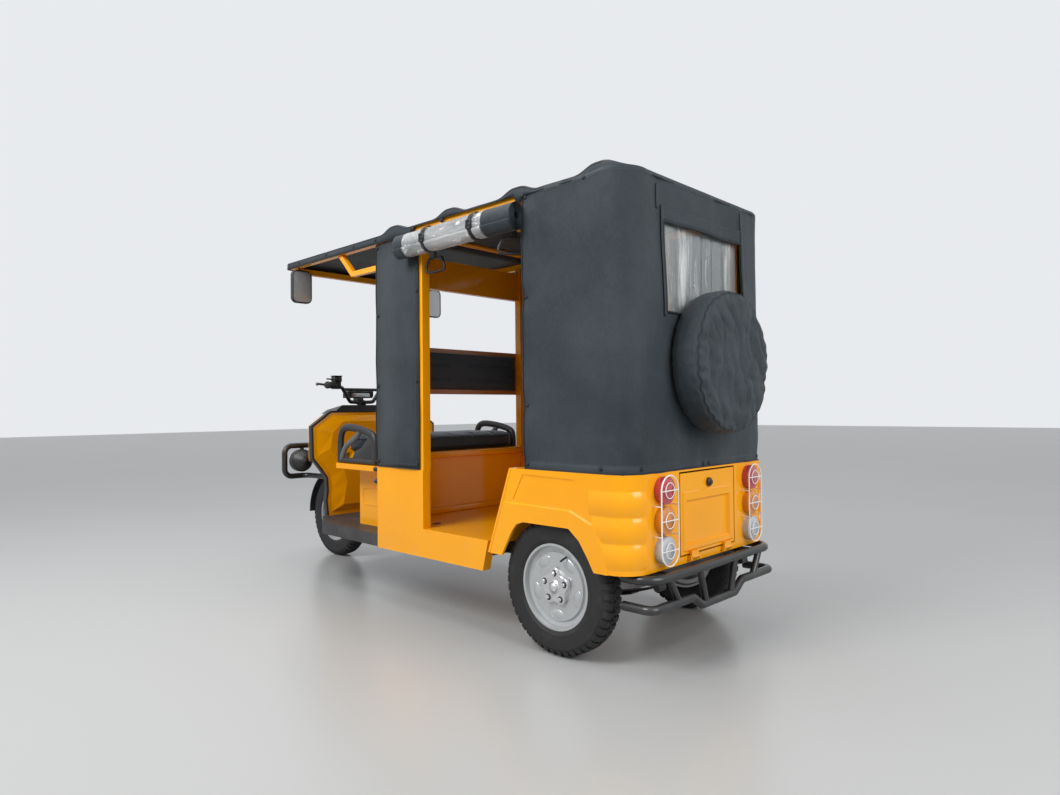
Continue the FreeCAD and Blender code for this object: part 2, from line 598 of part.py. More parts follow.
def rib_face(x, middle):
    """A rib's low arched section across its length."""
    base, crest = outside - 1, outside + size("rib_rise")
    low, high = Vector(x, outside, middle - rib_half), Vector(x, outside, middle + rib_half)
    foot_low, foot_high = Vector(x, base, middle - rib_half), Vector(x, base, middle + rib_half)
    return Part.Face(Part.Wire([
        Part.Arc(low, Vector(x, crest, middle), high).toShape(), Part.LineSegment(high, foot_high).toShape(),
        Part.LineSegment(foot_high, foot_low).toShape(), Part.LineSegment(foot_low, low).toShape()]))


ribs = []
for index, front in enumerate(rib_fronts[:int(size("rib_count"))]):
    middle = size("rib_top") - size("rib_pitch") * (index + 0.5)
    ribs.append(rib_face(front, middle).extrude(Vector(corner_middle.x - front, 0, 0)))
    ribs.append(rib_face(corner_middle.x, middle).revolve(corner_middle, Vector(0, 0, 1), 84))
rib_top_middle = size("rib_top") - size("rib_pitch") / 2
round_end = rib_face(rib_fronts[0], rib_top_middle).common(Part.makeBox(
    2, outside, rib_half, Vector(rib_fronts[0] - 1, 0, rib_top_middle)))
ribs.append(round_end.revolve(Vector(rib_fronts[0], 0, rib_top_middle), Vector(0, 1, 0), 360))
recess_depth = 2.5
recess = side_prism([(182, band_top + 10), (127, fender_high - 20), (-128, fender_high - 26), (-124, band_top + 16)],
                    outside - recess_depth, outside + 1)
edge_line = side_prism([
    (size("fender_front_bottom") - front_margin + 5, size("tub_bottom")),
    (size("fender_front_top") - front_margin + 5, fender_high), (size("fender_front_top") - front_margin + 2, fender_high),
    (size("fender_front_bottom") - front_margin + 2, size("tub_bottom"))], outside - 1.5, outside + 1)
fender = fender.fuse([band] + ribs).cut([recess, edge_line])
pair("fender", shaped("Fender", fender))

# Tail panel between the fenders, framed round the hatch, with the hatch's hinge pins
hinge_x = -size("rear_face") - size("fender_proud") - 12
hinge_z = size("hatch_bottom") - 11
hinge_pin = 3.5
hinge_reach = 120
knuckle_half = 24


def hatch_block(x_low, x_high, margin):
    """A block with the hatch's outline, larger or smaller by a margin."""
    return Part.makeBox(x_high - x_low, (size("hatch_half") + margin) * 2,
                        size("hatch_top") - size("hatch_bottom") + margin * 2,
                        Vector(x_low, -size("hatch_half") - margin, size("hatch_bottom") - margin))


tail_out = -size("rear_face") - size("fender_proud")
tail_in = tail_out + size("panel_sheet")
frame_depth = 26
tail_band = Part.makeBox(size("corner_radius"), tail_split * 2, fender_high - size("tub_bottom"),
                         Vector(tail_out - 1, -tail_split, size("tub_bottom")))
tail = tub_skin.common(tail_band).fuse(hatch_block(tail_in, tail_in + frame_depth, size("moving_gap") + 5).cut(
    hatch_block(tail_in - 1, tail_in + frame_depth + 1, size("moving_gap"))))
tail = tail.cut(hatch_block(tail_out - 1, tail_in + 1, size("moving_gap")))
hinge_parts = []
for side in (-1, 1):
    middle = side * hinge_reach
    hinge_parts.append(Part.makeCylinder(hinge_pin, knuckle_half * 2 + 16, Vector(hinge_x, middle - knuckle_half - 8,
                                                                                   hinge_z), Vector(0, 1, 0)))
    for end in (-1, 1):
        lug_low = middle + end * (knuckle_half + 1) - (8 if end < 0 else 0)
        hinge_parts.append(Part.makeBox(tail_out - hinge_x + 5, 8, 16, Vector(hinge_x - 5, lug_low, hinge_z - 10)))
tail = tail.fuse(hinge_parts)
node("tail_panel", shaped("TailPanel", tail))

# Tail hatch: pressed lid with a raised field, a lock, and knuckles on the hinge pins
lid = hatch_block(tail_out, tail_in, 0)
lid = lid.fuse(hatch_block(tail_in, tail_in + 12, -12).cut(hatch_block(tail_in - 1, tail_in + 13, -16)))


def pressing(x_wide, x_narrow, half, low, high, draw):
    """A shallow pressed form across the tail, narrowing by a draw from one station to another."""
    faces = []
    for x, inset in ((x_wide, 0), (x_narrow, draw)):
        corners = [Vector(x, -half + inset, low + inset), Vector(x, half - inset, low + inset),
                   Vector(x, half - inset, high - inset), Vector(x, -half + inset, high - inset)]
        faces.append(Part.makePolygon(corners + corners[:1]))
    return Part.makeLoft(faces, True, True)


field_top = 598
pan_half = 158
pan_low = 398
pan_high = 566
pan_depth = 9
lid = lid.fuse([pressing(tail_out + 1, tail_out - 4, size("hatch_half") - 10, size("hatch_bottom") + 8, field_top, 6),
                pressing(tail_in - 1, tail_in + pan_depth, pan_half + 3, pan_low - 3, pan_high + 3, 8)])
lid = lid.cut(pressing(tail_out - 5, tail_in + pan_depth - size("panel_sheet"), pan_half, pan_low, pan_high, 10))
lock_z = 620
lid = lid.fuse([Part.makeCylinder(12, 12, Vector(tail_out - 8, 0, lock_z), Vector(1, 0, 0)),
                Part.makeCylinder(7, 12, Vector(tail_out - 14, 0, lock_z), Vector(1, 0, 0))])
knuckle_bore = hinge_pin + size("running_gap")
for side in (-1, 1):
    middle = side * hinge_reach
    knuckle = Part.makeCylinder(knuckle_bore + 3, knuckle_half * 2, Vector(hinge_x, middle - knuckle_half, hinge_z),
                                Vector(0, 1, 0))
    arm = Part.makeBox(tail_out - hinge_x + 2, knuckle_half * 2, 22, Vector(hinge_x - 2, middle - knuckle_half, hinge_z))
    bore = Part.makeCylinder(knuckle_bore, knuckle_half * 2 + 2, Vector(hinge_x, middle - knuckle_half - 1, hinge_z),
                             Vector(0, 1, 0))
    below_lid = Part.makeBox(20, knuckle_half * 2 + 2, size("hatch_bottom") - hinge_z + 8,
                             Vector(tail_out - size("moving_gap"), middle - knuckle_half - 1, hinge_z - 8))
    lid = lid.fuse([knuckle, arm.cut(below_lid)]).cut(bore)
node("tail_hatch", shaped("TailHatch", lid))

# Knee braces from the front pillars up to the side rails
brace_tube = 24
brace_reach = 349
brace_drop = 122
rail_foot = size("eave_height") - size("canvas_sheet") - size("seat_gap") - size("rail_tube")
brace_y = size("body_width") / 2 - size("canvas_sheet") - size("seat_gap") * 2 - size("rail_tube") / 2 - brace_tube / 2
brace_foot = size("partition") + size("seat_gap")
brace_profile = [
    # X, Z from the pillar forward and up to the rail, and back along the upper side
    (brace_foot, rail_foot - brace_drop), (brace_foot + brace_reach - 123, rail_foot - brace_drop),
    (brace_foot + brace_reach, rail_foot), (brace_foot + brace_reach - 34, rail_foot),
    (brace_foot + brace_reach - 133, rail_foot - brace_drop + brace_tube), (brace_foot, rail_foot - brace_drop + brace_tube)]
node("roof_braces", both("RoofBraces", shaped("RoofBrace", side_prism(brace_profile, brace_y, brace_y + brace_tube))))

# Tail lamps: three round lenses in a column on each side, and their wire guards
for index, colour in enumerate(("red", "amber", "white")):
    height = "lamp_top - lamp_pitch * %d" % index
    lens = rod("Lens" + colour, "-rear_face - fender_proud - lamp_depth", "lamp_column", height, "lamp_radius",
               "lamp_depth", Vector(1, 0, 0))
    node("tail_lamps_" + colour, both("Lenses" + colour, lens))
guard_wire = 2.5
guard_x = tail_out - size("lamp_depth") - 10
guard_y = size("lamp_column")
guard_out = size("lamp_radius") + 4
guard_low = size("lamp_top") - size("lamp_pitch") * 2 - guard_out
guard_high = size("lamp_top") + guard_out
wires = []
for height, turn in ((guard_high - guard_out, 180), (guard_low + guard_out, -180)):
    section = Part.Face(Part.Wire([Part.Circle(Vector(guard_x, guard_y - guard_out, height), Vector(0, 0, 1),
                                               guard_wire).toShape()]))
    wires.append(section.revolve(Vector(guard_x, guard_y, height), Vector(-1, 0, 0), turn))
for side in (-1, 1):
    wires.append(Part.makeCylinder(guard_wire, guard_high - guard_low - guard_out * 2,
                                   Vector(guard_x, guard_y + side * guard_out, guard_low + guard_out), Vector(0, 0, 1)))
cross_wire = guard_wire * 0.8
for index in range(3):
    height = size("lamp_top") - size("lamp_pitch") * index
    wires.append(Part.makeCylinder(cross_wire, guard_out * 2, Vector(guard_x, guard_y - guard_out, height), Vector(0, 1, 0)))
for gap in (0.5, 1.5):
    for side in (-1, 1):
        wires.append(Part.makeCylinder(cross_wire, tail_out - guard_x, Vector(
            guard_x, guard_y + side * guard_out, size("lamp_top") - size("lamp_pitch") * gap), Vector(1, 0, 0)))
guard_left = wires[0].fuse(wires[1:])
node("lamp_guards", both("LampGuards", shaped("LampGuard", guard_left)))

# Rear bumper: two tubes round the tail, struts between them and stays to the chassis
bumper_bend = 70
stay_end = -size("rear_face") + size("wall") + size("chassis_tube")
rear_x = -size("bumper_rear")
side_end = -size("rear_face") + 70
upper = tube([Vector(side_end, size("bumper_half"), size("bumper_upper")), Vector(rear_x, size("bumper_half"), size("bumper_upper")),
              Vector(rear_x, -size("bumper_half"), size("bumper_upper")), Vector(side_end, -size("bumper_half"), size("bumper_upper"))],
             size("bumper_tube"), bumper_bend)
dip_half = 120
lower = tube([Vector(side_end, size("bumper_half"), size("bumper_lower")), Vector(rear_x, size("bumper_half"), size("bumper_lower")),
              Vector(rear_x, dip_half + 60, size("bumper_lower")), Vector(rear_x, dip_half, size("bumper_dip")),
              Vector(rear_x, -dip_half, size("bumper_dip")), Vector(rear_x, -dip_half - 60, size("bumper_lower")),
              Vector(rear_x, -size("bumper_half"), size("bumper_lower")), Vector(side_end, -size("bumper_half"), size("bumper_lower"))],
             size("bumper_tube"), 30)
strut_rows = [
    # Y at the upper tube, Y at the lower tube
    (330, 270), (130, 90), (-130, -90), (-330, -270)]
struts = []
for top_y, low_y in strut_rows:
    low_z = size("bumper_lower") if abs(low_y) > dip_half else size("bumper_dip")
    foot = Vector(rear_x, low_y, low_z)
    rise = Vector(rear_x, top_y, size("bumper_upper")) - foot
    struts.append(Part.makeCylinder(size("bumper_tube") * 0.8, rise.Length, foot, rise))
for side in (-1, 1):
    struts.append(Part.makeBox(stay_end - size("chassis_tube") - rear_x, 30, 20,
                               Vector(rear_x, side * size("chassis_half") - 15, size("bumper_upper") - 15)))
node("rear_bumper", shaped("RearBumper", upper.fuse([lower] + struts)))

# Spare wheel in its cover, on a carrier that passes through the canvas to a cross tube
spare_back = -size("rear_face") - size("spare_standoff")
spare_face = spare_back - size("spare_depth")
spare_edge = 38
spare_profile = Part.Wire([
    Part.LineSegment(Vector(spare_back, 0, 0), Vector(spare_face, 0, 0)).toShape(),
    Part.LineSegment(Vector(spare_face, 0, 0), Vector(spare_face, 0, size("spare_radius") - spare_edge)).toShape(),
    Part.Arc(Vector(spare_face, 0, size("spare_radius") - spare_edge),
             Vector(spare_face + spare_edge * (1 - math.sqrt(0.5)), 0,
                    size("spare_radius") - spare_edge * (1 - math.sqrt(0.5))),
             Vector(spare_face + spare_edge, 0, size("spare_radius"))).toShape(),
    Part.LineSegment(Vector(spare_face + spare_edge, 0, size("spare_radius")),
                     Vector(spare_back, 0, size("spare_radius") - spare_edge / 2)).toShape(),
    Part.LineSegment(Vector(spare_back, 0, size("spare_radius") - spare_edge / 2), Vector(spare_back, 0, 0)).toShape()])
spare = Part.Face(spare_profile).revolve(Vector(), Vector(1, 0, 0), 360)
spare.translate(Vector(0, 0, size("spare_height")))
node("spare_wheel", shaped("SpareWheel", spare))
carrier_x = -size("rear_face") + size("corner_radius")
carrier_half = size("body_width") / 2 - size("canvas_sheet") - size("seat_gap") * 2 - size("wall")
carrier = Part.makeBox(size("rail_tube"), carrier_half * 2, size("rail_tube"),
                       Vector(carrier_x, -carrier_half, size("spare_height") - size("rail_tube") / 2))
carrier = carrier.fuse(Part.makeCylinder(carrier_radius, carrier_x - spare_back - size("seat_gap") + 5,
                                         Vector(spare_back + size("seat_gap"), 0, size("spare_height")), Vector(1, 0, 0)))
node("spare_carrier", shaped("SpareCarrier", carrier))

# Partition: lower wall, header, the driver's backrest board between the front pillars
between_pillars = "(body_width - canvas_sheet * 2 - seat_gap * 4 - wall * 2)"
node("partition_wall", block("PartitionWall", "partition - partition_thickness", "-%s / 2" % between_pillars,
                             "floor_top - floor_sheet", "partition_thickness", between_pillars,
                             "seat_rail_top - floor_top + floor_sheet"))
node("partition_header", block("PartitionHeader", "partition - partition_thickness", "-%s / 2" % between_pillars,
                               "header_bottom", "partition_thickness", between_pillars, "header_top - header_bottom"))
backrest = block("Backrest", "partition - partition_thickness", "-%s / 2 + seat_gap" % between_pillars, "backrest_bottom",
                 "backrest_depth", "%s - seat_gap * 2" % between_pillars, "backrest_top - backrest_bottom")
node("driver_backrest", backrest)

# Driver's seat: hollow box, ledge, cushion and looped armrests
box_wall = 3
box_outer = block("SeatBoxOuter", "partition", "-seat_box_half", "footboard_top", "seat_box_front - partition",
                  "seat_box_half * 2", "seat_ledge_top - seat_ledge - footboard_top")
box_inner = block("SeatBoxInner", "partition + %d" % box_wall, "-seat_box_half + %d" % box_wall,
                  "footboard_top + %d" % box_wall, "seat_box_front - partition - %d" % (box_wall * 2),
                  "seat_box_half * 2 - %d" % (box_wall * 2), "seat_ledge_top - footboard_top")
ledge = block("SeatLedge", "partition", "-body_width / 2 + canvas_sheet * 2", "seat_ledge_top - seat_ledge",
              "seat_front - partition", "body_width - canvas_sheet * 4", "seat_ledge")
pan = block("SeatPan", "partition", "-body_width / 2 + wall + canvas_sheet * 3", "seat_ledge_top", "seat_front - partition - wall / 2",
            "body_width - wall * 2 - canvas_sheet * 6", "seat_rail_top - seat_ledge_top")
node("driver_seat_box", joined("SeatBoxAndLedge", [trimmed("SeatBoxShell", box_outer, [box_inner]), ledge, pan]))
node("battery_block", block("BatteryBlock", "partition + wall", "-seat_box_half + wall", "footboard_top + %d" % box_wall,
                            "seat_box_front - partition - wall * 2", "seat_box_half * 2 - wall * 2", "210"))
node("driver_cushion", block("DriverCushion", "partition + seat_gap", "-body_width / 2 + wall + canvas_sheet * 3",
                             "seat_rail_top + seat_gap", "seat_front - partition - wall / 4",
                             "body_width - wall * 2 - canvas_sheet * 6", "cushion_top - seat_rail_top"))
arm_profile = [
    # X, Z of the loop's outside, from the front foot up and back
    (1475, 636), (1478, 770), (1440, 822), (1340, 836), (1150, 800), (1128, 740), (1128, 636)]
arm_hole = [(1432, 640), (1440, 752), (1412, 786), (1330, 796), (1210, 770), (1176, 700), (1176, 640)]
arm_low = size("body_width") / 2 - size("wall") + 2
arm_high = size("body_width") / 2 - size("canvas_sheet") * 2
arm = side_prism([(x, z) for x, z in arm_profile], arm_low, arm_high).cut(
    side_prism([(x, z + 26) for x, z in arm_hole], arm_low - 1, arm_high + 1))
node("driver_armrests", both("DriverArmrests", shaped("Armrest", arm)))

# Rear bench between the wheelhouses: box, cushion and backrest
bench_front = 140
bench_top = size("seat_rail_top")
bench_half = size("wheelhouse_inner") - size("panel_sheet") - size("seat_gap")
bench_rear = -size("rear_face") + size("panel_sheet") + frame_depth + 10
bench = Part.makeBox(bench_front - bench_rear, bench_half * 2, bench_top - size("floor_top"),
                     Vector(bench_rear, -bench_half, size("floor_top")))
bench = bench.cut(Part.makeBox(bench_front - bench_rear, (bench_half - box_wall) * 2,
                               bench_top - size("floor_top"),
                               Vector(bench_rear - box_wall, -bench_half + box_wall, size("floor_top") - box_wall)))
node("rear_bench_box", shaped("RearBenchBox", bench))
cushion_half = carrier_half - size("seat_gap") * 2
node("rear_cushion", shaped("RearCushion", Part.makeBox(
    bench_front - bench_rear - 40, cushion_half * 2, 85, Vector(bench_rear + 50, -cushion_half, bench_top + size("seat_gap")))))
node("rear_backrest", shaped("RearBackrest", Part.makeBox(
    size("backrest_depth"), cushion_half * 2, size("rear_backrest_height"),
    Vector(carrier_x + size("rail_tube") + size("seat_gap"), -cushion_half, size("rear_backrest_bottom")))))

# Footboard ahead of the skirt, narrowing to the leg shield
def footboard_plan(name, inset, end, low, high):
    """The footboard's outline, smaller by an inset, ending at a station."""
    return outline(name, "plan", [
        ("partition", "-body_width / 2 + 10 + %s" % inset), ("footboard_corner", "-body_width / 2 + 20 + %s" % inset),
        (end, "-cowl_foot_half + %s" % inset), (end, "cowl_foot_half - %s" % inset),
        ("footboard_corner", "body_width / 2 - 20 - %s" % inset), ("partition", "body_width / 2 - 10 - %s" % inset)],
        low, "(%s) - (%s)" % (high, low))


footboard_skirt = footboard_plan("FootboardBlock", "0", "cowl_rear + shield_thickness", "sill_bottom", "footboard_top")
footboard_room = footboard_plan("FootboardRoom", "panel_sheet", "cowl_rear + shield_thickness + 1", "sill_bottom - 1",
                                "footboard_top - floor_sheet")
rear_room = block("FootboardRearRoom", "partition - 1", "-body_width / 2 + 10 + panel_sheet", "sill_bottom - 1", "60",
                  "body_width - 20 - panel_sheet * 2", "footboard_top - floor_sheet - sill_bottom + 1")
node("footboard", trimmed("FootboardTray", footboard_skirt, [footboard_room, rear_room]))

# Front cowl: the leg shield and a hollow nose, open below for the fork
shield_outline = [
    # half width, height, up one side
    (size("cowl_foot_half"), size("footboard_top")), (size("cowl_foot_half") + 8, 404), (size("cowl_foot_half"), 458),
    (size("cowl_foot_half") + 4, 526), (size("cowl_foot_half") + 36, 572), (size("cowl_half") - 4, size("cowl_waist")),
    (size("cowl_half"), size("cowl_shoulder")), (size("cowl_top_half"), size("cowl_top"))]


def front_face(points, x):
    """A symmetric face across the vehicle from a half outline."""
    corners = [Vector(x, y, z) for y, z in points] + [Vector(x, -y, z) for y, z in reversed(points)]
    return Part.makePolygon(corners + corners[:1])


shield = Part.Face(front_face(shield_outline, size("cowl_rear"))).extrude(Vector(size("shield_thickness"), 0, 0))
nose_rear = size("cowl_rear") + size("shield_thickness")


def nose_loft(inset, drop):
    """The nose from the shield's wide part to its narrower front."""
    rear = [(size("cowl_half") - inset, size("nose_bottom") - drop),
            (size("cowl_half") - inset, size("cowl_shoulder")), (size("cowl_top_half") - inset, size("cowl_top") - inset)]
    front = [(size("nose_half") - inset, size("nose_bottom") - drop),
             (size("nose_half") - inset, size("nose_front_top") - 50),
             (size("nose_half") - 45 - inset, size("nose_front_top") - inset)]
    return Part.makeLoft([front_face(rear, nose_rear), front_face(front, size("nose_front") - inset)], True, True)


nose = nose_loft(0, 0).cut(nose_loft(size("cowl_sheet"), 20))
column_hole = Part.makeCylinder(head_outer + size("moving_gap"), 300, on_axis(800), steer_axis)
node("front_cowl", shaped("FrontCowl", shield.fuse(nose).cut(column_hole)))

# Dash on top of the cowl, notched for the column
dash_height = 34
dash_rear = [(size("cowl_top_half") - 30, size("cowl_top") + 0.0), (size("cowl_top_half") - 75, size("cowl_top") + dash_height)]
dash_front = [(size("cowl_top_half") - 70, size("cowl_top") - 16), (size("cowl_top_half") - 110, size("cowl_top") + 8)]
dash = Part.makeLoft([front_face(dash_rear, size("cowl_rear")), front_face(dash_front, steer_top.x + 60)], True, True)
dash = dash.cut([column_hole, nose_loft(0, 0), shield])
node("dash_top", shaped("DashTop", dash))

# Front guard: a bent loop on each side of the nose joined by the upper tube, with round headlamps
guard_foot = 190
guard_path = [
    Vector(nose_rear + 20, guard_foot, size("guard_bottom")), Vector(size("guard_front"), guard_foot + 40, size("guard_bottom")),
    Vector(size("guard_front"), size("guard_half"), size("guard_bottom")), Vector(size("guard_front"), size("guard_half"), size("guard_top")),
    Vector(size("guard_front"), -size("guard_half"), size("guard_top")), Vector(size("guard_front"), -size("guard_half"), size("guard_bottom")),
    Vector(size("guard_front"), -guard_foot - 40, size("guard_bottom")), Vector(nose_rear + 20, -guard_foot, size("guard_bottom"))]
guard = tube(guard_path, size("guard_tube"), 45)
guard_stays = [Part.makeBox(size("guard_front") - size("nose_front") - 0.3, 30, 16,
                            Vector(size("nose_front") + 0.3, side * 150 - 15, size("guard_top") - 8)) for side in (-1, 1)]
shield_stays = [Part.makeBox(20, 40, 40, Vector(nose_rear, side * guard_foot - 20, size("guard_bottom") - 20))
                for side in (-1, 1)]
lamp_stays = [Part.makeBox(20, 16, size("guard_top") - size("headlamp_z") - size("headlamp_radius") - 8,
                           Vector(size("guard_front") - 10, side * size("headlamp_y") - 8,
                                  size("headlamp_z") + size("headlamp_radius"))) for side in (-1, 1)]
node("front_guard", shaped("FrontGuard", guard.fuse(guard_stays + shield_stays + lamp_stays)))
lamp_profile = [
    # station from the guard, radius
    (42, 0), (42, size("headlamp_radius") - 6), (30, size("headlamp_radius")), (-10, size("headlamp_radius")),
    (-48, size("headlamp_radius") * 0.45), (-48, 0)]
bowl_points = [Vector(size("guard_front") + x, 0, r) for x, r in lamp_profile]
bowl = Part.Face(Part.makePolygon(bowl_points + bowl_points[:1])).revolve(Vector(), Vector(1, 0, 0), 360)
bowl.translate(Vector(0, size("headlamp_y"), size("headlamp_z")))
node("headlamps", both("Headlamps", shaped("Headlamp", bowl)))

# Mirrors on stays from the front roof rail
mirror_low = size("mirror_z") - size("mirror_height") / 2
mirror_head = Part.makeBox(16, size("mirror_width"), size("mirror_height"),
                           Vector(size("mirror_x") - 8, size("mirror_y") - size("mirror_width") / 2, mirror_low))
mirror_head = mirror_head.makeFillet(30, [edge for edge in mirror_head.Edges
                                          if abs(edge.tangentAt(edge.FirstParameter).x) > 0.99])
rail_low = size("eave_height") - size("canvas_sheet") - size("seat_gap") - size("rail_tube")
stay_y = size("body_width") / 2 - size("canvas_sheet") - size("rail_tube") / 2 - size("seat_gap") * 2
mirror_top = Vector(size("mirror_x"), stay_y, rail_low)
mirror_stay = tube([mirror_top, Vector(size("mirror_x"), stay_y, rail_low - 12), Vector(size("mirror_x"), size("mirror_y"), mirror_low
                                                                                         + size("mirror_height") - 30)], 5, 4)
node("mirrors", both("Mirrors", shaped("Mirror", mirror_head.fuse(mirror_stay))))

# Grab handles hanging from the side rails
ring_drop = 66
ring_radius = 38
handle_stations = [
    # X of each handle
    704, 215]
hand_y = stay_y
handles = []
for x in handle_stations:
    ring = Part.makeTorus(ring_radius, 4.5, Vector(x, hand_y, rail_low - ring_drop - ring_radius), Vector(0, 1, 0))
    strap = Part.makeBox(16, 3, ring_drop, Vector(x - 8, hand_y - 1.5, rail_low - ring_drop))
    handles.append(ring.fuse(strap))
node("grab_handles", both("GrabHandles", shaped("HandlesLeft", Part.Compound(handles))))

# Steering: fork with its stem and spindle, handlebar, instrument box and front mudguard
axle_point = Vector(size("wheel_base"), 0, size("tyre_radius"))
crown_point = on_axis(size("crown_height"))
stem_bottom = crown_point
stem_top_height = size("head_top") + size("stem_reach")
stem = Part.makeCylinder(size("steerer_radius"), (on_axis(stem_top_height) - stem_bottom).Length, stem_bottom, steer_axis)
ahead = Vector(steer_axis.z, 0, -steer_axis.x)
crown_depth = 64
crown_thick = 22
crown_edge = size("fork_leg_radius") + 7
crown = Part.makeBox(crown_depth, (size("fork_half") + crown_edge) * 2, crown_thick,
                     Vector(-crown_depth / 2, -size("fork_half") - crown_edge, -crown_thick / 2))
crown.Placement = Placement(crown_point, Rotation(Vector(0, 1, 0), -size("rake")))
legs = []
for side in (-1, 1):
    leg_top = crown_point + Vector(0, side * size("fork_half"), 0)
    leg_foot = axle_point + Vector(0, side * size("fork_half"), 0)
    rise = leg_top - leg_foot
    legs.append(Part.makeCylinder(size("fork_leg_radius"), rise.Length, leg_foot, rise))
    legs.append(Part.makeCylinder(24, 18, leg_foot - Vector(0, 9, 0), Vector(0, 1, 0)))
spindle = Part.makeCylinder(size("front_axle_radius"), size("fork_half") * 2, axle_point - Vector(0, size("fork_half"), 0),
                            Vector(0, 1, 0))
node("fork", shaped("Fork", crown.fuse([stem, spindle] + legs)))

clamp = Part.makeCylinder(28, 26, on_axis(stem_top_height), steer_axis)
bar_points = [
    # X, Y, Z from the clamp out to the grip's end, left side
    (0, 0, 0), (0, 80, 4), (-6, size("bar_bend_half") - 55, size("bar_rise") - 14),
    (-40, size("bar_bend_half"), size("bar_rise")),
    (-size("bar_sweep") + 6, size("bar_half") - 6, size("bar_rise") - 4)]
clamp_middle = on_axis(stem_top_height + 14)
bar_left = tube([clamp_middle + Vector(x, y, z) for x, y, z in bar_points], 11, 22)
bar_right = bar_left.mirror(Vector(), Vector(0, 1, 0))
brace = Part.makeCylinder(9, size("bar_brace_half") * 2, clamp_middle + Vector(-5, -size("bar_brace_half"), 78), Vector(0, 1, 0))
lever_length = 150
gauge_half = 85
gauge_length = 60
gauge_height = 38
bracket_half = 20
grips = []
for side in (-1, 1):
    grip_end = clamp_middle + Vector(-size("bar_sweep"), side * size("bar_half"), size("bar_rise") - 4)
    grip_run = (clamp_middle + Vector(-40, side * size("bar_bend_half"), size("bar_rise"))) - grip_end
    grips.append(Part.makeCylinder(17, 120, grip_end, grip_run))
    switch = Part.makeBox(40, 40, 46, clamp_middle + Vector(-74, side * (size("bar_bend_half") + 15) - 20, 78))
    grips.append(switch)
    lever_foot = clamp_middle + Vector(-30, side * (size("bar_bend_half") + 10), size("bar_rise") + 4)
    grips.append(Part.makeCylinder(5, lever_length, lever_foot, Vector(-0.35, side * 1.0, 0)))
gauge_foot = clamp_middle + Vector(11.3, -gauge_half, 28)
gauge_bracket = Part.makeBox(50, bracket_half * 2, 26, gauge_foot + Vector(0, gauge_half - bracket_half, -26))
node("handlebar", shaped("Handlebar", clamp.fuse([bar_left, bar_right, brace, gauge_bracket] + grips)))
node("instrument_box", shaped("InstrumentBox", Part.makeBox(gauge_length, gauge_half * 2, gauge_height, gauge_foot)))

guard_inner = size("tyre_radius") + size("mudguard_gap")
mudguard_sheet = size("mudguard_sheet")
mudguard_half = size("tyre_width") / 2 + 12
arc_ring = Part.makeCylinder(guard_inner + mudguard_sheet, mudguard_half * 2, axle_point - Vector(0, mudguard_half, 0),
                             Vector(0, 1, 0)).cut(
    Part.makeCylinder(guard_inner, mudguard_half * 2 + 2, axle_point - Vector(0, mudguard_half + 1, 0), Vector(0, 1, 0)))
reach = guard_inner * 2
fan = Part.Face(Part.makePolygon([
    axle_point - Vector(0, mudguard_half, 0), axle_point + Vector(reach, -mudguard_half, 0),
    axle_point + Vector(reach, -mudguard_half, reach), axle_point + Vector(-reach, -mudguard_half, reach),
    axle_point + Vector(-reach, -mudguard_half, 140), axle_point - Vector(0, mudguard_half, 0)])).extrude(
        Vector(0, mudguard_half * 2, 0))
mudguard = arc_ring.common(fan)
for side in (-1, 1):
    legs_gap = Part.makeCylinder(size("fork_leg_radius") + 0.3, 600, axle_point + Vector(0, side * size("fork_half"), 0),
                                 (crown_point - axle_point))
    mudguard = mudguard.cut(legs_gap)
post_top = crown_point - steer_axis * 11
post = Part.makeCylinder(12, 60, post_top - steer_axis * 60, steer_axis)
post = post.cut(Part.makeCylinder(guard_inner + mudguard_sheet / 2, 60, axle_point - Vector(0, 30, 0), Vector(0, 1, 0)))
node("front_mudguard", shaped("FrontMudguard", mudguard.fuse(post)))


def tyre(half_width):
    """A road tyre as a turned section, with a bead seat and rounded shoulders."""
    bead = size("rim_radius") - 8
    crown_radius = size("tyre_radius")
    shoulder = half_width - 12
    section = [
        # Y, radius
        (-half_width + 8, bead), (-half_width, bead + 34), (-half_width + 2, crown_radius - 24),
        (-shoulder, crown_radius - 7), (-shoulder / 2, crown_radius - 1), (0, crown_radius), (shoulder / 2, crown_radius - 1),
        (shoulder, crown_radius - 7), (half_width - 2, crown_radius - 24), (half_width, bead + 34), (half_width - 8, bead)]
    points = [Vector(0, y, r) for y, r in section]
    return Part.Face(Part.makePolygon(points + points[:1])).revolve(Vector(), Vector(0, 1, 0), 360)


def rim(half_width, bore, dish, hub_low, hub_high):
    """A pressed steel wheel: barrel with flanges, dished disc and hub, as one turned section."""
    flange = size("rim_radius") - 8
    section = [
        # Y, radius; from the inner flange round the barrel to the outer flange, back along the disc
        (-half_width, flange - 0.3), (half_width, flange - 0.3), (half_width, flange - 9), (half_width - 18, flange - 14),
        (half_width - 22, flange - 30), (dish + 10, flange - 34), (dish + 10, 66), (hub_high, 58), (hub_high, bore),
        (hub_low, bore), (hub_low, 40), (dish, 66), (dish, flange - 42), (-half_width + 22, flange - 30),
        (-half_width + 18, flange - 14), (-half_width, flange - 9)]
    points = [Vector(0, y, r) for y, r in section]
    return Part.Face(Part.makePolygon(points + points[:1])).revolve(Vector(), Vector(0, 1, 0), 360)


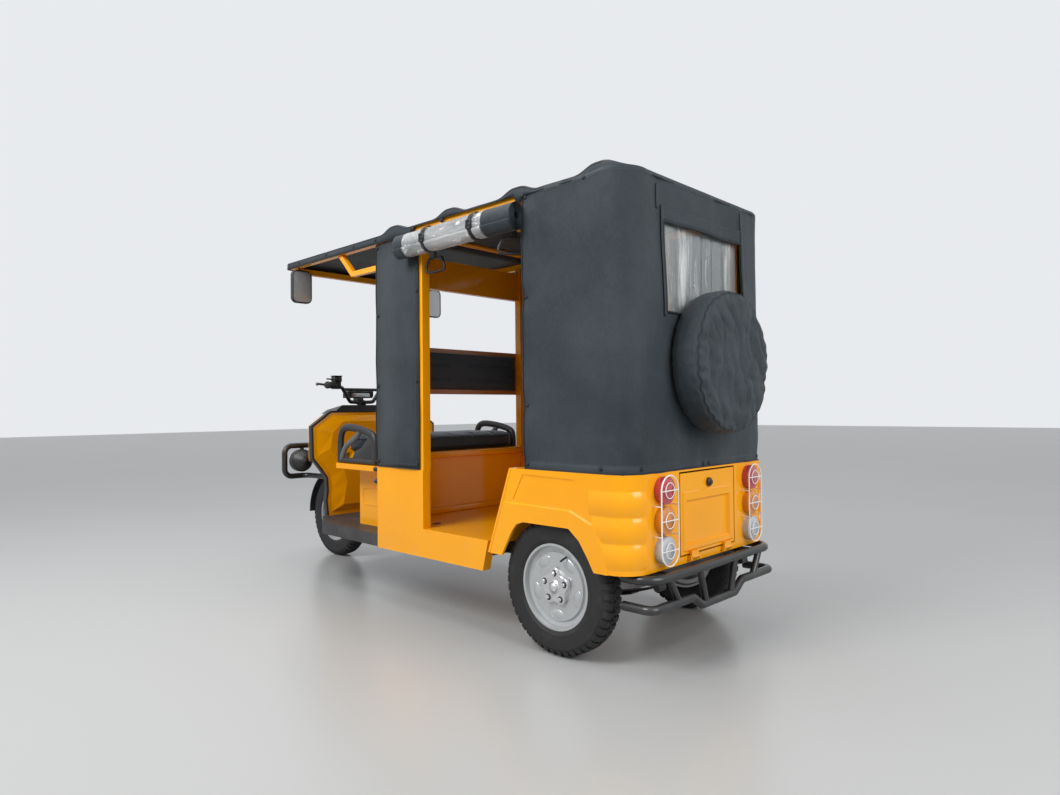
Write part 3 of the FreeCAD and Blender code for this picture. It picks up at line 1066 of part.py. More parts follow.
half_tyre = size("tyre_width") / 2
half_rim = size("rim_width") / 2
front_bore = size("front_axle_radius") + size("running_gap")
rear_bore = size("axle_stub_radius") + size("running_gap")
front_rim_shape = rim(half_rim, front_bore, -5, -40, 40)
front_rim_shape.translate(axle_point)
front_tyre_shape = tyre(half_tyre)
front_tyre_shape.translate(axle_point)
node("front_tyre", shaped("FrontTyre", front_tyre_shape))
node("front_rim", shaped("FrontRim", front_rim_shape))
rear_centre = Vector(0, size("wheel_track") / 2, size("tyre_radius"))
rear_tyre_shape = tyre(half_tyre)
rear_tyre_shape.translate(rear_centre)
rear_rim_shape = rim(half_rim, rear_bore, 18, -20, 38)
rear_rim_shape.translate(rear_centre)
pair("rear_tyre", shaped("RearTyre", rear_tyre_shape))
pair("rear_rim", shaped("RearRim", rear_rim_shape))

# Rear axle: tube, differential, motor, drums and wheel stubs
drum_face = size("wheel_track") / 2 - 20 - size("moving_gap")
axle_height = size("tyre_radius")
leaf_half_width = 22
motor_radius = 78
motor_length = 190
motor_room = 68
motor_end = -(size("chassis_half") - leaf_half_width - motor_room)
gear_case_lap = 30
stub_length = size("wheel_track") / 2 + 44 - drum_face
axle_parts = [Part.makeCylinder(30, 2 * (drum_face - 26), Vector(0, -drum_face + 26, axle_height), Vector(0, 1, 0)),
              Part.makeCylinder(95, 110, Vector(0, -55, axle_height), Vector(0, 1, 0)),
              Part.makeCylinder(motor_radius, motor_length, Vector(112, motor_end + motor_length, axle_height),
                                Vector(0, -1, 0)),
              Part.makeBox(112, 60, 90, Vector(0, motor_end + motor_length - gear_case_lap, axle_height - 45))]
for side in (-1, 1):
    axle_parts.append(Part.makeCylinder(92, 26, Vector(0, side * (drum_face - 26), axle_height), Vector(0, side, 0)))
    axle_parts.append(Part.makeCylinder(size("axle_stub_radius"), stub_length, Vector(0, side * drum_face, axle_height),
                                        Vector(0, side, 0)))
axle = axle_parts[0].fuse(axle_parts[1:])
node("rear_axle", shaped("RearAxle", axle))

# Leaf springs under the axle tube, eyes hung from the chassis rails
leaf_thickness = 7
leaf_rows = [
    # half length of each leaf, from the main leaf down
    345, 240, 150]
eye_height = 278
spring_top = axle_height - 30 - 0.3
spring_rise = eye_height - spring_top + leaf_thickness
leaves = []
for index, half_length in enumerate(leaf_rows):
    top = spring_top - index * leaf_thickness
    curve = spring_rise / leaf_rows[0] ** 2
    rise = curve * half_length ** 2
    upper_arc = Part.Arc(Vector(-half_length, 0, top + rise), Vector(0, 0, top), Vector(half_length, 0, top + rise)).toShape()
    lower_arc = Part.Arc(Vector(half_length, 0, top + rise - leaf_thickness), Vector(0, 0, top - leaf_thickness),
                         Vector(-half_length, 0, top + rise - leaf_thickness)).toShape()
    ends = [Part.LineSegment(Vector(half_length, 0, top + rise), Vector(half_length, 0, top + rise - leaf_thickness)).toShape(),
            Part.LineSegment(Vector(-half_length, 0, top + rise - leaf_thickness), Vector(-half_length, 0, top + rise)).toShape()]
    leaf = Part.Face(Part.Wire([upper_arc, ends[0], lower_arc, ends[1]])).extrude(Vector(0, leaf_half_width * 2, 0))
    leaves.append(leaf)
for side in (-1, 1):
    x = side * leaf_rows[0]
    leaves.append(Part.makeCylinder(12, leaf_half_width * 2, Vector(x, 0, eye_height - 4), Vector(0, 1, 0)))
    leaves.append(Part.makeBox(20, leaf_half_width * 2, size("chassis_bottom") - eye_height, Vector(x - 10, 0, eye_height)))
spring = leaves[0].fuse(leaves[1:])
spring.translate(Vector(0, size("chassis_half") - leaf_half_width, 0))
node("leaf_springs", both("LeafSprings", shaped("LeafSpring", spring)))

doc.recompute()
faulty = [thing.Name for thing in doc.Objects if "Invalid" in thing.State or "Error" in thing.State]
for piece in PARTS:
    if piece.Shape.isNull() or not piece.Shape.isValid() or not piece.Shape.Solids:
        faulty.append(piece.Label)
if faulty:
    raise SystemExit("these failed to build: " + ", ".join(faulty))
os.makedirs("parts", exist_ok=True)
for piece in PARTS:
    piece.Shape.exportStep("parts/%s.step" % piece.Label)
print(len(PARTS), "pieces written")
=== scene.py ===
"""Auto rickshaw: finishes, canvas, cushions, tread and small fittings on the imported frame."""
import json
import math

import bmesh
import bpy
from mathutils import Matrix, Vector, noise
from mathutils.bvhtree import BVHTree


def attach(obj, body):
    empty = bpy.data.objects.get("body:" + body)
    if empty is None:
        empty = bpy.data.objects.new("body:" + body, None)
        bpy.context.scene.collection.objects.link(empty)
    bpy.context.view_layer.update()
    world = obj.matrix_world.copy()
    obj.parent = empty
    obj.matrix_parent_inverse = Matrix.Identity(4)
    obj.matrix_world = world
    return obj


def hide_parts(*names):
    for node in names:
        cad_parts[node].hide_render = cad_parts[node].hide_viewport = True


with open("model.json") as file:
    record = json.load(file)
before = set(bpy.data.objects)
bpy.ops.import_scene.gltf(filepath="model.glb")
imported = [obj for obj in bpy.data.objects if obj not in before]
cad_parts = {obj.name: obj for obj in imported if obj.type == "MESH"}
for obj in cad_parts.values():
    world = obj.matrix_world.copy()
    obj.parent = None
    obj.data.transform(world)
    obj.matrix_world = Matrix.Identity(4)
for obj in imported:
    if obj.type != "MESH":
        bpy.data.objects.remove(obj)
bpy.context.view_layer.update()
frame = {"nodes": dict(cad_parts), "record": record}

# The rear axle's place in the frame; stations on the canvas and curtains count forward from it
REAR_AXLE_X = -1.001
AXLE_HEIGHT = 0.250
WHEEL_BASE = 2.230
FORWARD, LEFT, UP = Vector((1, 0, 0)), Vector((0, 1, 0)), Vector((0, 0, 1))
SIDES = (-1, 1)


class Value:
    """A node's socket that takes part in sums: an expression on it adds its Math nodes."""

    def __init__(self, nodes, socket):
        self.nodes = nodes
        self.socket = socket

    def combined(self, operation, *values):
        return self.nodes.add("ShaderNodeMath", {"operation": operation}, dict(enumerate(values)))

    def __add__(self, other):
        return self.combined("ADD", self, other)

    def __radd__(self, other):
        return self.combined("ADD", other, self)

    def __sub__(self, other):
        return self.combined("SUBTRACT", self, other)

    def __rsub__(self, other):
        return self.combined("SUBTRACT", other, self)

    def __mul__(self, other):
        return self.combined("MULTIPLY", self, other)

    def __rmul__(self, other):
        return self.combined("MULTIPLY", other, self)

    def sine(self):
        return self.combined("SINE", self)

    def step(self, low, high):
        """Rises smoothly from nought at low to one at high."""
        return self.nodes.add("ShaderNodeMapRange", {"interpolation_type": "SMOOTHSTEP"},
                              {"Value": self, "From Min": low, "From Max": high})


class Nodes:
    """A tree of nodes and one plain way to add to it."""

    def __init__(self, tree):
        self.tree = tree

    def put(self, socket, value):
        """Links a socket to a value's, or gives it a fixed one."""
        if isinstance(value, Value):
            self.tree.links.new(value.socket, socket)
        else:
            socket.default_value = value

    def add(self, kind, settings, inputs, output=0):
        """A node of any kind; its settings come first, then its sockets' values or links."""
        node = self.tree.nodes.new(kind)
        for setting, value in settings.items():
            setattr(node, setting, value)
        for key, value in inputs.items():
            self.put(node.inputs[key], value)
        return Value(self, node.outputs[output])


class Finish(Nodes):
    """One material of the vehicle: a plain colour and roughness, and the patterns laid over them."""

    def __init__(self, name, colour, roughness, **fixed):
        self.material = bpy.data.materials.new(name)
        self.material.use_nodes = True
        super().__init__(self.material.node_tree)
        self.surface = next(n for n in self.tree.nodes if n.type == "BSDF_PRINCIPLED")
        self.set("Base Color", (*colour, 1))
        self.set("Roughness", roughness)
        for socket, value in fixed.items():
            self.set(socket.replace("_", " ").title().replace("Ior", "IOR"), value)
        self.place = self.add("ShaderNodeTexCoord", {}, {}, "Object")

    def set(self, name, value):
        self.put(self.surface.inputs[name], value)

    def noise(self, scale, detail=3.0, roughness=0.55, stretch=None):
        """A cloudy value about one half, scale to the metre."""
        place = self.place
        if stretch:
            place = self.add("ShaderNodeMapping", {}, {"Vector": place, "Scale": stretch})
        return self.add("ShaderNodeTexNoise", {}, {
            "Vector": place, "Scale": scale, "Detail": detail, "Roughness": roughness})

    def axis(self, name):
        return self.add("ShaderNodeSeparateXYZ", {}, {0: self.place}, name)

    def blend(self, amount, first, second):
        """A colour between two, by an amount from nought to one."""
        first, second = (c if isinstance(c, Value) else (*c, 1) for c in (first, second))
        return self.add("ShaderNodeMix", {"data_type": "RGBA"}, {0: amount, 6: first, 7: second}, 2)

    def bumps(self, *layers):
        """Bumps laid on each other, each a height and its depth in metres."""
        below = {}
        for height, depth in layers:
            bump = self.add("ShaderNodeBump", {}, {
                "Height": height, "Distance": depth, "Strength": 1.0, **below})
            below = {"Normal": bump}
        self.set("Normal", bump)


def dusted(finish, colour, amount):
    """Road dust that gathers low down and in clouds."""
    low = 1 - finish.axis("Z").step(0.05, 0.75)
    cloud = finish.noise(9, 4).step(0.42, 0.72)
    return finish.blend(low * cloud * amount, colour, (0.42, 0.38, 0.33))


def gloss_paint(name, colour, deep):
    """Sprayed enamel over pressed steel: slight orange peel, faint clouds of shade, dust low down."""
    finish = Finish(name, colour, 0.3, coat_weight=0.22, coat_roughness=0.06, specular_ior_level=0.3)
    shade = finish.noise(2.6, 2).step(0.35, 0.7)
    speck = finish.noise(420, 2)
    finish.set("Base Color", dusted(finish, finish.blend(shade * 0.55, colour, deep), 0.05))
    smudge = finish.noise(14, 5, 0.65).step(0.45, 0.8)
    finish.set("Roughness", 0.13 + smudge * 0.08 + speck * 0.03)
    finish.bumps((finish.noise(210, 2, 0.5), 0.0001), (finish.noise(7, 2), 0.0012))
    return finish.material


def satin_paint(name, colour, worn):
    """Black satin enamel on tube and plate, dusty below and rubbed a little."""
    finish = Finish(name, colour, 0.42, coat_weight=0.15, coat_roughness=0.25)
    cloud = finish.noise(38, 5, 0.7)
    rubbed = cloud.step(0.66, 0.78)
    finish.set("Base Color", dusted(finish, finish.blend(rubbed * 0.25, colour, worn), 0.06))
    finish.set("Roughness", 0.26 + cloud * 0.14)
    finish.bumps((finish.noise(260, 3), 0.0003), (cloud, 0.0004))
    return finish.material


def woven_canvas(name, colour, light):
    """Coated tarpaulin: a fine plain weave, soft sheen, faded clouds and shallow creases."""
    finish = Finish(name, colour, 0.62, sheen_weight=0.06, sheen_roughness=0.5, specular_ior_level=0.22)
    across = (finish.axis("X") + finish.axis("Y")) * 2600
    up = finish.axis("Z") * 2600 + (finish.axis("X") - finish.axis("Y")) * 1300
    weave = (across.sine() * up.sine()) * 0.5 + 0.5
    cloud = finish.noise(3.4, 4, 0.6)
    fine = finish.noise(90, 3, 0.7)
    tone = finish.blend(cloud.step(0.35, 0.7) * 0.75, colour, light)
    finish.set("Base Color", finish.blend(weave * 0.12 + fine * 0.08, tone, light))
    finish.set("Roughness", 0.42 + cloud * 0.14 + weave * 0.06)
    crease = finish.noise(6.5, 5, 0.62, stretch=(1.0, 1.0, 0.45))
    finish.bumps((crease, 0.012), (fine, 0.0009), (weave, 0.0003))
    return finish.material


def stitched_vinyl(name, colour, light):
    """Upholstery vinyl: pebbled grain with fine pores and a low sheen."""
    finish = Finish(name, colour, 0.45, specular_ior_level=0.5)
    grain = finish.add("ShaderNodeTexVoronoi", {"feature": "DISTANCE_TO_EDGE"}, {
        "Vector": finish.place, "Scale": 420.0})
    cloud = finish.noise(11, 4)
    pores = grain.step(0.0, 0.12)
    finish.set("Base Color", finish.blend(cloud.step(0.35, 0.75) * 0.6, colour, light))
    finish.set("Roughness", 0.36 + cloud * 0.2)
    finish.bumps((finish.noise(16, 4), 0.003), (pores, 0.00035), (finish.noise(900, 2), 0.0002))
    return finish.material


def moulded_plastic(name, colour, roughness, dust):
    """Moulded plastic with a fine spark grain, lighter where it is rubbed."""
    finish = Finish(name, colour, roughness)
    cloud = finish.noise(24, 4)
    rubbed = [min(1, c * 1.9 + 0.012) for c in colour]
    finish.set("Base Color", dusted(finish, finish.blend(cloud * 0.4, colour, rubbed), dust))
    finish.set("Roughness", roughness - 0.06 + cloud * 0.16)
    finish.bumps((finish.noise(700, 2), 0.0002), (cloud, 0.0006))
    return finish.material


def road_rubber(name, colour, grey):
    """Tyre rubber, greyed by the road in clouds."""
    finish = Finish(name, colour, 0.6, specular_ior_level=0.35)
    dust = finish.noise(22, 5, 0.7)
    finish.set("Base Color", finish.blend(dust.step(0.45, 0.8) * 0.3, colour, grey))
    finish.set("Roughness", 0.48 + dust * 0.2)
    finish.bumps((finish.noise(320, 3), 0.0004), (dust, 0.0006))
    return finish.material


def silver_paint(name, colour, fleck, soil):
    """Aluminium paint on the pressed wheels, sparkling finely, dusty at the rim."""
    finish = Finish(name, colour, 0.34, metallic=0.55, coat_weight=0.2)
    flake = finish.noise(1600, 1)
    grime = finish.noise(30, 5, 0.7).step(0.5, 0.8)
    flecked = finish.blend(flake.step(0.3, 0.7) * 0.4, colour, fleck)
    finish.set("Base Color", finish.blend(grime * 0.35, flecked, soil))
    finish.set("Roughness", 0.26 + grime * 0.2 + flake * 0.08)
    finish.bumps((flake, 0.00012), (finish.noise(120, 2), 0.0003))
    return finish.material


def lens_plastic(name, colour, reflector_light):
    """A lamp lens: clear coloured plastic over a bright back, with fine flutes; the lighter colour along the
    flutes is painted reflection of that back.
    """
    finish = Finish(name, colour, 0.12, coat_weight=0.8, coat_roughness=0.03, specular_ior_level=0.6)
    flute = (finish.axis("Y") * 900).sine() * (finish.axis("Z") * 900).sine() * 0.5 + 0.5
    # Painted reflection: the flute pattern lightens the lens towards the reflector's light.
    finish.set("Base Color", finish.blend(flute * 0.35, colour, reflector_light))
    finish.set("Roughness", 0.1 + finish.noise(60, 3) * 0.12)
    finish.bumps((flute, 0.0006))
    return finish.material


def bare_steel(name, colour, roughness):
    """Machined or plated steel with brushed lines and light tarnish."""
    finish = Finish(name, colour, roughness, metallic=0.9)
    brushed = finish.noise(60, 4, 0.6, stretch=(1, 12, 1))
    tarnish = finish.noise(25, 4).step(0.5, 0.8)
    finish.set("Base Color", finish.blend(tarnish * 0.5, colour, [c * 0.5 for c in colour]))
    finish.set("Roughness", roughness + brushed * 0.15 + tarnish * 0.12)
    finish.bumps((brushed, 0.0003))
    return finish.material


def clear_sheeting(name, clear, milky):
    """Soft clear plastic: glossy, milky along its ripples and see-through between them."""
    finish = Finish(name, milky, 0.12, specular_ior_level=0.8, coat_weight=0.5)
    ripple = finish.noise(15, 4, 0.6, stretch=(1.0, 1.0, 0.12))
    haze = ripple.step(0.5, 0.75)
    finish.set("Base Color", finish.blend(haze, clear, milky))
    finish.set("Alpha", 0.30 + haze * 0.32)
    finish.set("Roughness", 0.08 + haze * 0.2)
    finish.bumps((ripple, 0.014), (finish.noise(55, 3), 0.0012))
    return finish.material


def rolled_sheeting(name, deep, layer_reflection, glinting):
    """Clear plastic rolled up on itself: silvery layers of painted reflection with painted highlights along
    its crinkles.
    """
    finish = Finish(name, layer_reflection, 0.16, specular_ior_level=0.9, coat_weight=0.8, coat_roughness=0.04)
    crinkle = finish.noise(34, 6, 0.68, stretch=(0.55, 1.0, 1.0))
    layer = finish.noise(9, 3, 0.5, stretch=(0.3, 1.6, 1.6)).step(0.38, 0.66)
    glint = crinkle.step(0.56, 0.66)
    # Painted reflection in bands between the layers and painted highlights on the crinkles, mixed into the
    # colour.
    finish.set("Base Color", finish.blend(glint * 0.75, finish.blend(layer, deep, layer_reflection), glinting))
    finish.set("Alpha", 0.74 + glint * 0.26)
    finish.set("Roughness", 0.1 + crinkle * 0.16)
    finish.bumps((crinkle, 0.012), (finish.noise(130, 4), 0.0012))
    return finish.material


def silvered_glass(name, colour, dusty):
    """A mirror's face, with a faint breath of dust; its half-metal pale grey is painted reflection of pale
    surroundings.
    """
    finish = Finish(name, colour, 0.05, metallic=0.45, specular_ior_level=0.9)
    breath = finish.noise(18, 4)
    finish.set("Roughness", 0.04 + breath * 0.12)
    # Painted reflection: a diffuse pale grey stands in for what the mirror shows.
    finish.set("Base Color", finish.blend(breath * 0.4, colour, dusty))
    return finish.material


FINISHES = [
    (gloss_paint, "orange_paint", (0.95, 0.39, 0.002), (0.90, 0.345, 0.001)),
    (satin_paint, "dark_paint", (0.0125, 0.0138, 0.015), (0.042, 0.043, 0.044)),
    (satin_paint, "brown_board", (0.42, 0.16, 0.05), (0.3, 0.1, 0.03)),
    (woven_canvas, "canvas", (0.0205, 0.0285, 0.0345), (0.041, 0.053, 0.062)),
    (woven_canvas, "piping", (0.012, 0.014, 0.017), (0.026, 0.03, 0.036)),
    (stitched_vinyl, "vinyl", (0.020, 0.033, 0.050), (0.043, 0.058, 0.078)),
    (clear_sheeting, "clear_sheet", (0.5, 0.54, 0.55), (0.8, 0.82, 0.82)),
    # The roll's silvery and glinting colours are painted reflection and painted highlight.
    (rolled_sheeting, "clear_roll", (0.27, 0.285, 0.295), (0.56, 0.57, 0.575), (0.93, 0.94, 0.94)),
    (moulded_plastic, "black_plastic", (0.0125, 0.013, 0.0145), 0.42, 0.1),
    (moulded_plastic, "mirror_black", (0.018, 0.018, 0.02), 0.28, 0.05),
    (moulded_plastic, "board_black", (0.024, 0.024, 0.026), 0.5, 0.08),
    (moulded_plastic, "grey_plastic", (0.085, 0.09, 0.095), 0.36, 0.05),
    (moulded_plastic, "wire_white", (0.78, 0.78, 0.76), 0.35, 0.1),
    (moulded_plastic, "thread", (0.060, 0.066, 0.072), 0.6, 0.0),
    (road_rubber, "tyre", (0.016, 0.016, 0.017), (0.07, 0.067, 0.06)),
    (silver_paint, "rim_silver", (0.52, 0.535, 0.54), (0.38, 0.39, 0.41), (0.34, 0.31, 0.28)),
    (bare_steel, "steel", (0.42, 0.42, 0.43), 0.38),
    (bare_steel, "bright_steel", (0.66, 0.66, 0.68), 0.2),
    # The second colour of each lens is painted reflection of its lamp's reflector.
    (lens_plastic, "red_lens", (0.44, 0.018, 0.035), (0.72, 0.09, 0.12)),
    (lens_plastic, "amber_lens", (0.62, 0.19, 0.005), (0.80, 0.34, 0.02)),
    (lens_plastic, "white_lens", (0.40, 0.43, 0.47), (0.74, 0.77, 0.81)),
    (lens_plastic, "lamp_glass", (0.5, 0.52, 0.54), (0.9, 0.92, 0.94)),
    # The silvered face's pale grey is painted reflection.
    (silvered_glass, "silvered", (0.5, 0.52, 0.53), (0.38, 0.4, 0.41)),
]
finishes = {name: make(name, *values) for make, name, *values in FINISHES}

for entry in frame["record"]["subparts"]:
    mesh = frame["nodes"][entry["node"]].data
    mesh.materials.clear()
    mesh.materials.append(finishes[entry["material_slot"]])


def linked(name, data):
    """A new object in the scene."""
    piece = bpy.data.objects.new(name, data)
    bpy.context.scene.collection.objects.link(piece)
    return piece


def from_bmesh(name, shape):
    mesh = bpy.data.meshes.new(name)
    shape.to_mesh(mesh)
    shape.free()
    return linked(name, mesh)


def fit(piece, slot, body="root", replaced=(), smooth=True):
    """Gives a finished piece its material and the body that carries it."""
    piece.data.materials.clear()
    piece.data.materials.append(finishes[slot])
    for face in piece.data.polygons:
        face.use_smooth = smooth
        face.material_index = 0
    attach(piece, body)
    if replaced:
        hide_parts(*replaced)
    return piece


def held(value):
    """A value kept between nought and one."""
    return max(0.0, min(1.0, value))


def cloudy(point, scale, seed):
    """A smooth random height from -1 to 1 at a point, lumps 1/scale metres across."""
    return noise.noise(Vector(point) * scale + Vector((seed, -seed, 2 * seed)))


def spread(low, high, step):
    """Stations from low to high, about a step apart."""
    count = max(1, round((high - low) / step))
    return [low + (high - low) * i / count for i in range(count + 1)]


def stations(start, *stretches):
    """Stations from start to the end of each stretch, about that stretch's step apart."""
    found = [start]
    for end, step in stretches:
        found += spread(found[-1], end, step)[1:]
    return found


def turns(count):
    """Angles of a full turn in equal steps."""
    return [2 * math.pi * i / count for i in range(count)]


def woven(name, across, along, place, opening=None, closed=False):
    """A sheet over a grid: place(a, b) gives each point and opening(a, b) says where nothing is."""
    shape = bmesh.new()
    grid = [[shape.verts.new(place(a, b)) for b in along] for a in across]
    for i in range(len(across) if closed else len(across) - 1):
        after = (i + 1) % len(across)
        for j in range(len(along) - 1):
            if opening and opening((across[i] + across[after]) / 2, (along[j] + along[j + 1]) / 2):
                continue
            shape.faces.new((grid[i][j], grid[after][j], grid[after][j + 1], grid[i][j + 1]))
    bmesh.ops.delete(shape, geom=[v for v in shape.verts if not v.link_faces], context="VERTS")
    return from_bmesh(name, shape)


def skin(rings, looped=False, ends=False):
    """Faces from ring to ring of points; a ring of one point is a tip, and ends are closed flat."""
    shape = bmesh.new()
    rings = [[shape.verts.new(point) for point in ring] for ring in rings]
    for low, high in zip(rings, rings[1:] + (rings[:1] if looped else [])):
        for i in range(max(len(low), len(high))):
            after = i + 1
            corners = [low[i % len(low)], low[after % len(low)], high[after % len(high)], high[i % len(high)]]
            corners = list(dict.fromkeys(corners))
            if len(corners) > 2:
                shape.faces.new(corners)
    for ring in (rings[0], rings[-1]) if ends else ():
        shape.faces.new(ring)
    bmesh.ops.recalc_face_normals(shape, faces=shape.faces)
    return shape


def box(low, high):
    """A shape with six faces, from corner to corner."""
    shape = bmesh.new()
    bmesh.ops.create_cube(shape, size=1.0)
    for vert in shape.verts:
        vert.co = [low[k] if vert.co[k] < 0 else high[k] for k in range(3)]
    return shape


def broken(shape, width, segments=2, edges=None):
    """The shape with its edges broken: all of them, or those given."""
    bmesh.ops.bevel(shape, geom=edges or shape.edges[:], offset=width, segments=segments,
                    affect="EDGES", profile=0.5)
    return shape


def plate(name, low, high, edge=0.0015):
    """A board or plate with broken edges."""
    return from_bmesh(name, broken(box(low, high), edge))


def evaluated(piece):
    """A piece's mesh, its modifiers or its curve worked out."""
    graph = bpy.context.evaluated_depsgraph_get()
    return bpy.data.meshes.new_from_object(piece.evaluated_get(graph))


def settled(piece):
    """The piece with its modifiers applied."""
    mesh = evaluated(piece)
    piece.modifiers.clear()
    piece.data = mesh
    return piece


def thickened(piece, thickness, offset=-1.0):
    """Gives a sheet its thickness, inwards from its face unless told otherwise."""
    modifier = piece.modifiers.new("thickness", "SOLIDIFY")
    modifier.thickness = thickness
    modifier.offset = offset
    return settled(piece)


def moved(piece, matrix):
    piece.data.transform(matrix)
    return piece


def tube(name, points, radius, closed=False, smooth_path=True, roundness=2):
    """A round bar that follows points smoothly, or passes through each of them."""
    curve = bpy.data.curves.new(name, "CURVE")
    curve.dimensions = "3D"
    curve.bevel_depth = radius
    curve.bevel_resolution = roundness
    curve.use_fill_caps = True
    spline = curve.splines.new("NURBS" if smooth_path else "POLY")
    spline.points.add(len(points) - 1)
    for target, point in zip(spline.points, points):
        target.co = (*point, 1)
    spline.use_cyclic_u = closed
    if smooth_path:
        spline.order_u = 3
        spline.use_endpoint_u = not closed
        spline.resolution_u = 6
    bar = linked(name, curve)
    mesh = evaluated(bar)
    bpy.data.objects.remove(bar)
    return linked(name, mesh)


def beading(name, points, radius, closed=False, roundness=2):
    """Piping, or a thin trim, through every one of its points."""
    return tube(name, points, radius, closed, False, roundness)


def joined(name, pieces):
    """Several loose pieces as one, in the order given."""
    shape = bmesh.new()
    for piece in pieces:
        shape.from_mesh(piece.data)
        bpy.data.objects.remove(piece)
    return from_bmesh(name, shape)


def both_sides(name, *pieces):
    """The pieces as one, with their mirror image across the middle."""
    shape = bmesh.new()
    for piece in pieces:
        shape.from_mesh(piece.data)
        bpy.data.objects.remove(piece)
    copies = bmesh.ops.duplicate(shape, geom=shape.verts[:] + shape.edges[:] + shape.faces[:])["geom"]
    verts = [g for g in copies if isinstance(g, bmesh.types.BMVert)]
    bmesh.ops.scale(shape, vec=(1, -1, 1), verts=verts)
    bmesh.ops.reverse_faces(shape, faces=[g for g in copies if isinstance(g, bmesh.types.BMFace)])
    return from_bmesh(name, shape)


class Repeat(Nodes):
    """A Geometry Nodes tree, built step by step and run once on a carrier mesh."""

    def __init__(self, name, sizes):
        super().__init__(bpy.data.node_groups.new(name, "GeometryNodeTree"))
        sockets = [("Geometry", way, "NodeSocketGeometry") for way in ("INPUT", "OUTPUT")]
        sockets += [(label, "INPUT", "NodeSocketFloat") for label in sizes]
        for label, way, kind in sockets:
            self.tree.interface.new_socket(label, in_out=way, socket_type=kind)
        self.sizes = sizes
        self.group_input = self.tree.nodes.new("NodeGroupInput")

    def given(self, label):
        """The carrier's geometry, or one of the tree's named sizes."""
        return Value(self, self.group_input.outputs[label])

    def run(self, name, carrier, geometry, slot):
        """Ends the tree, runs it on the carrier and returns the result as a plain piece."""
        real = self.add("GeometryNodeRealizeInstances", {}, {"Geometry": geometry})
        dressed = self.add("GeometryNodeSetMaterial", {}, {"Geometry": real, "Material": finishes[slot]})
        self.put(self.tree.nodes.new("NodeGroupOutput").inputs[0], dressed)
        holder = linked(name, carrier)
        modifier = holder.modifiers.new("repeat", "NODES")
        modifier.node_group = self.tree
        for item in self.tree.interface.items_tree:
            if item.in_out == "INPUT" and item.name in self.sizes:
                modifier[item.identifier] = self.sizes[item.name]
        return settled(holder)


def set_on(name, stamp, spots, slot, body="root", smooth=True):
    """Copies of a stamp on spots, each a place, the way it faces and the way its length runs."""
    carrier = bpy.data.meshes.new(name)
    carrier.from_pydata([place for place, _, _ in spots], [], [])
    repeat = Repeat("copies_of_" + stamp.name, {"Copy Size": 1.0})
    ways = {}
    for label, column in (("facing", 1), ("heading", 2)):
        attribute = carrier.attributes.new(label, "FLOAT_VECTOR", "POINT")
        attribute.data.foreach_set("vector", [c for spot in spots for c in spot[column]])
        ways[label] = repeat.add("GeometryNodeInputNamedAttribute", {"data_type": "FLOAT_VECTOR"},
                                 {"Name": label})
    upright = repeat.add("FunctionNodeAlignRotationToVector", {"axis": "Z"}, {"Vector": ways["facing"]})
    turned = repeat.add("FunctionNodeAlignRotationToVector", {"axis": "X", "pivot_axis": "Z"},
                        {"Rotation": upright, "Vector": ways["heading"]})
    pattern = repeat.add("GeometryNodeObjectInfo", {"transform_space": "ORIGINAL"}, {"Object": stamp},
                         "Geometry")
    copies = repeat.add("GeometryNodeInstanceOnPoints", {}, {
        "Points": repeat.given("Geometry"), "Instance": pattern, "Rotation": turned,
        "Scale": repeat.given("Copy Size")})
    piece = repeat.run(name, carrier, copies, slot)
    bpy.data.objects.remove(stamp)
    return fit(piece, slot, body, smooth=smooth)


def sewn(name, runs, spacing=0.007, length=0.0045, thread=0.0006):
    """Stitches along runs of points."""
    points, edges = [], []
    for run in runs:
        edges += [(len(points) + i, len(points) + i + 1) for i in range(len(run) - 1)]
        points += run
    carrier = bpy.data.meshes.new(name)
    carrier.from_pydata(points, edges, [])
    repeat = Repeat(name + "_rule", {"Spacing": spacing, "Stitch Length": length, "Thread": thread})
    line = repeat.add("GeometryNodeMeshToCurve", {}, {"Mesh": repeat.given("Geometry")})
    even = repeat.add("GeometryNodeResampleCurve", {"mode": "LENGTH"}, {
        "Curve": line, "Length": repeat.given("Spacing")})
    stitch = repeat.add("GeometryNodeMeshCylinder", {}, {
        "Vertices": 5, "Radius": repeat.given("Thread"), "Depth": repeat.given("Stitch Length")})
    along = repeat.add("GeometryNodeInputTangent", {}, {})
    turned = repeat.add("FunctionNodeAlignRotationToVector", {"axis": "Z"}, {"Vector": along})
    copies = repeat.add("GeometryNodeInstanceOnPoints", {}, {
        "Points": even, "Instance": stitch, "Rotation": turned})
    return fit(repeat.run(name, carrier, copies, "thread"), "thread")


def turned_stamp(name, profile, sides):
    """A small turned form about Z from radius and height pairs; a radius of nought is a tip."""
    rings = [[(radius * math.cos(turn), radius * math.sin(turn), height)
              for turn in (turns(sides) if radius else (0,))] for radius, height in profile]
    return from_bmesh(name, skin(rings))


# Canvas round the tail: stretched on the frame, tucked at its studs, with a folded hem
CANVAS_HALF = 0.485
TAIL = -0.353
TAIL_CORNER = 0.088
CANVAS_FRONT = 0.122
HEM, EAVE = 0.676, 1.714
SIDE_RUN = CANVAS_FRONT - TAIL - TAIL_CORNER
CORNER_RUN = TAIL_CORNER * math.pi / 2
MIDDLE_RUN = SIDE_RUN + CORNER_RUN + CANVAS_HALF - TAIL_CORNER
CANVAS_RUN = 2 * MIDDLE_RUN
CANVAS_THICKNESS = 0.0024
HEM_BEAD = 0.0028

WINDOW_HALF, WINDOW_LOW, WINDOW_HIGH = 0.268, 1.242, 1.556
SPARE_Z = 1.066
CARRIER_HOLE_HALF = 0.03


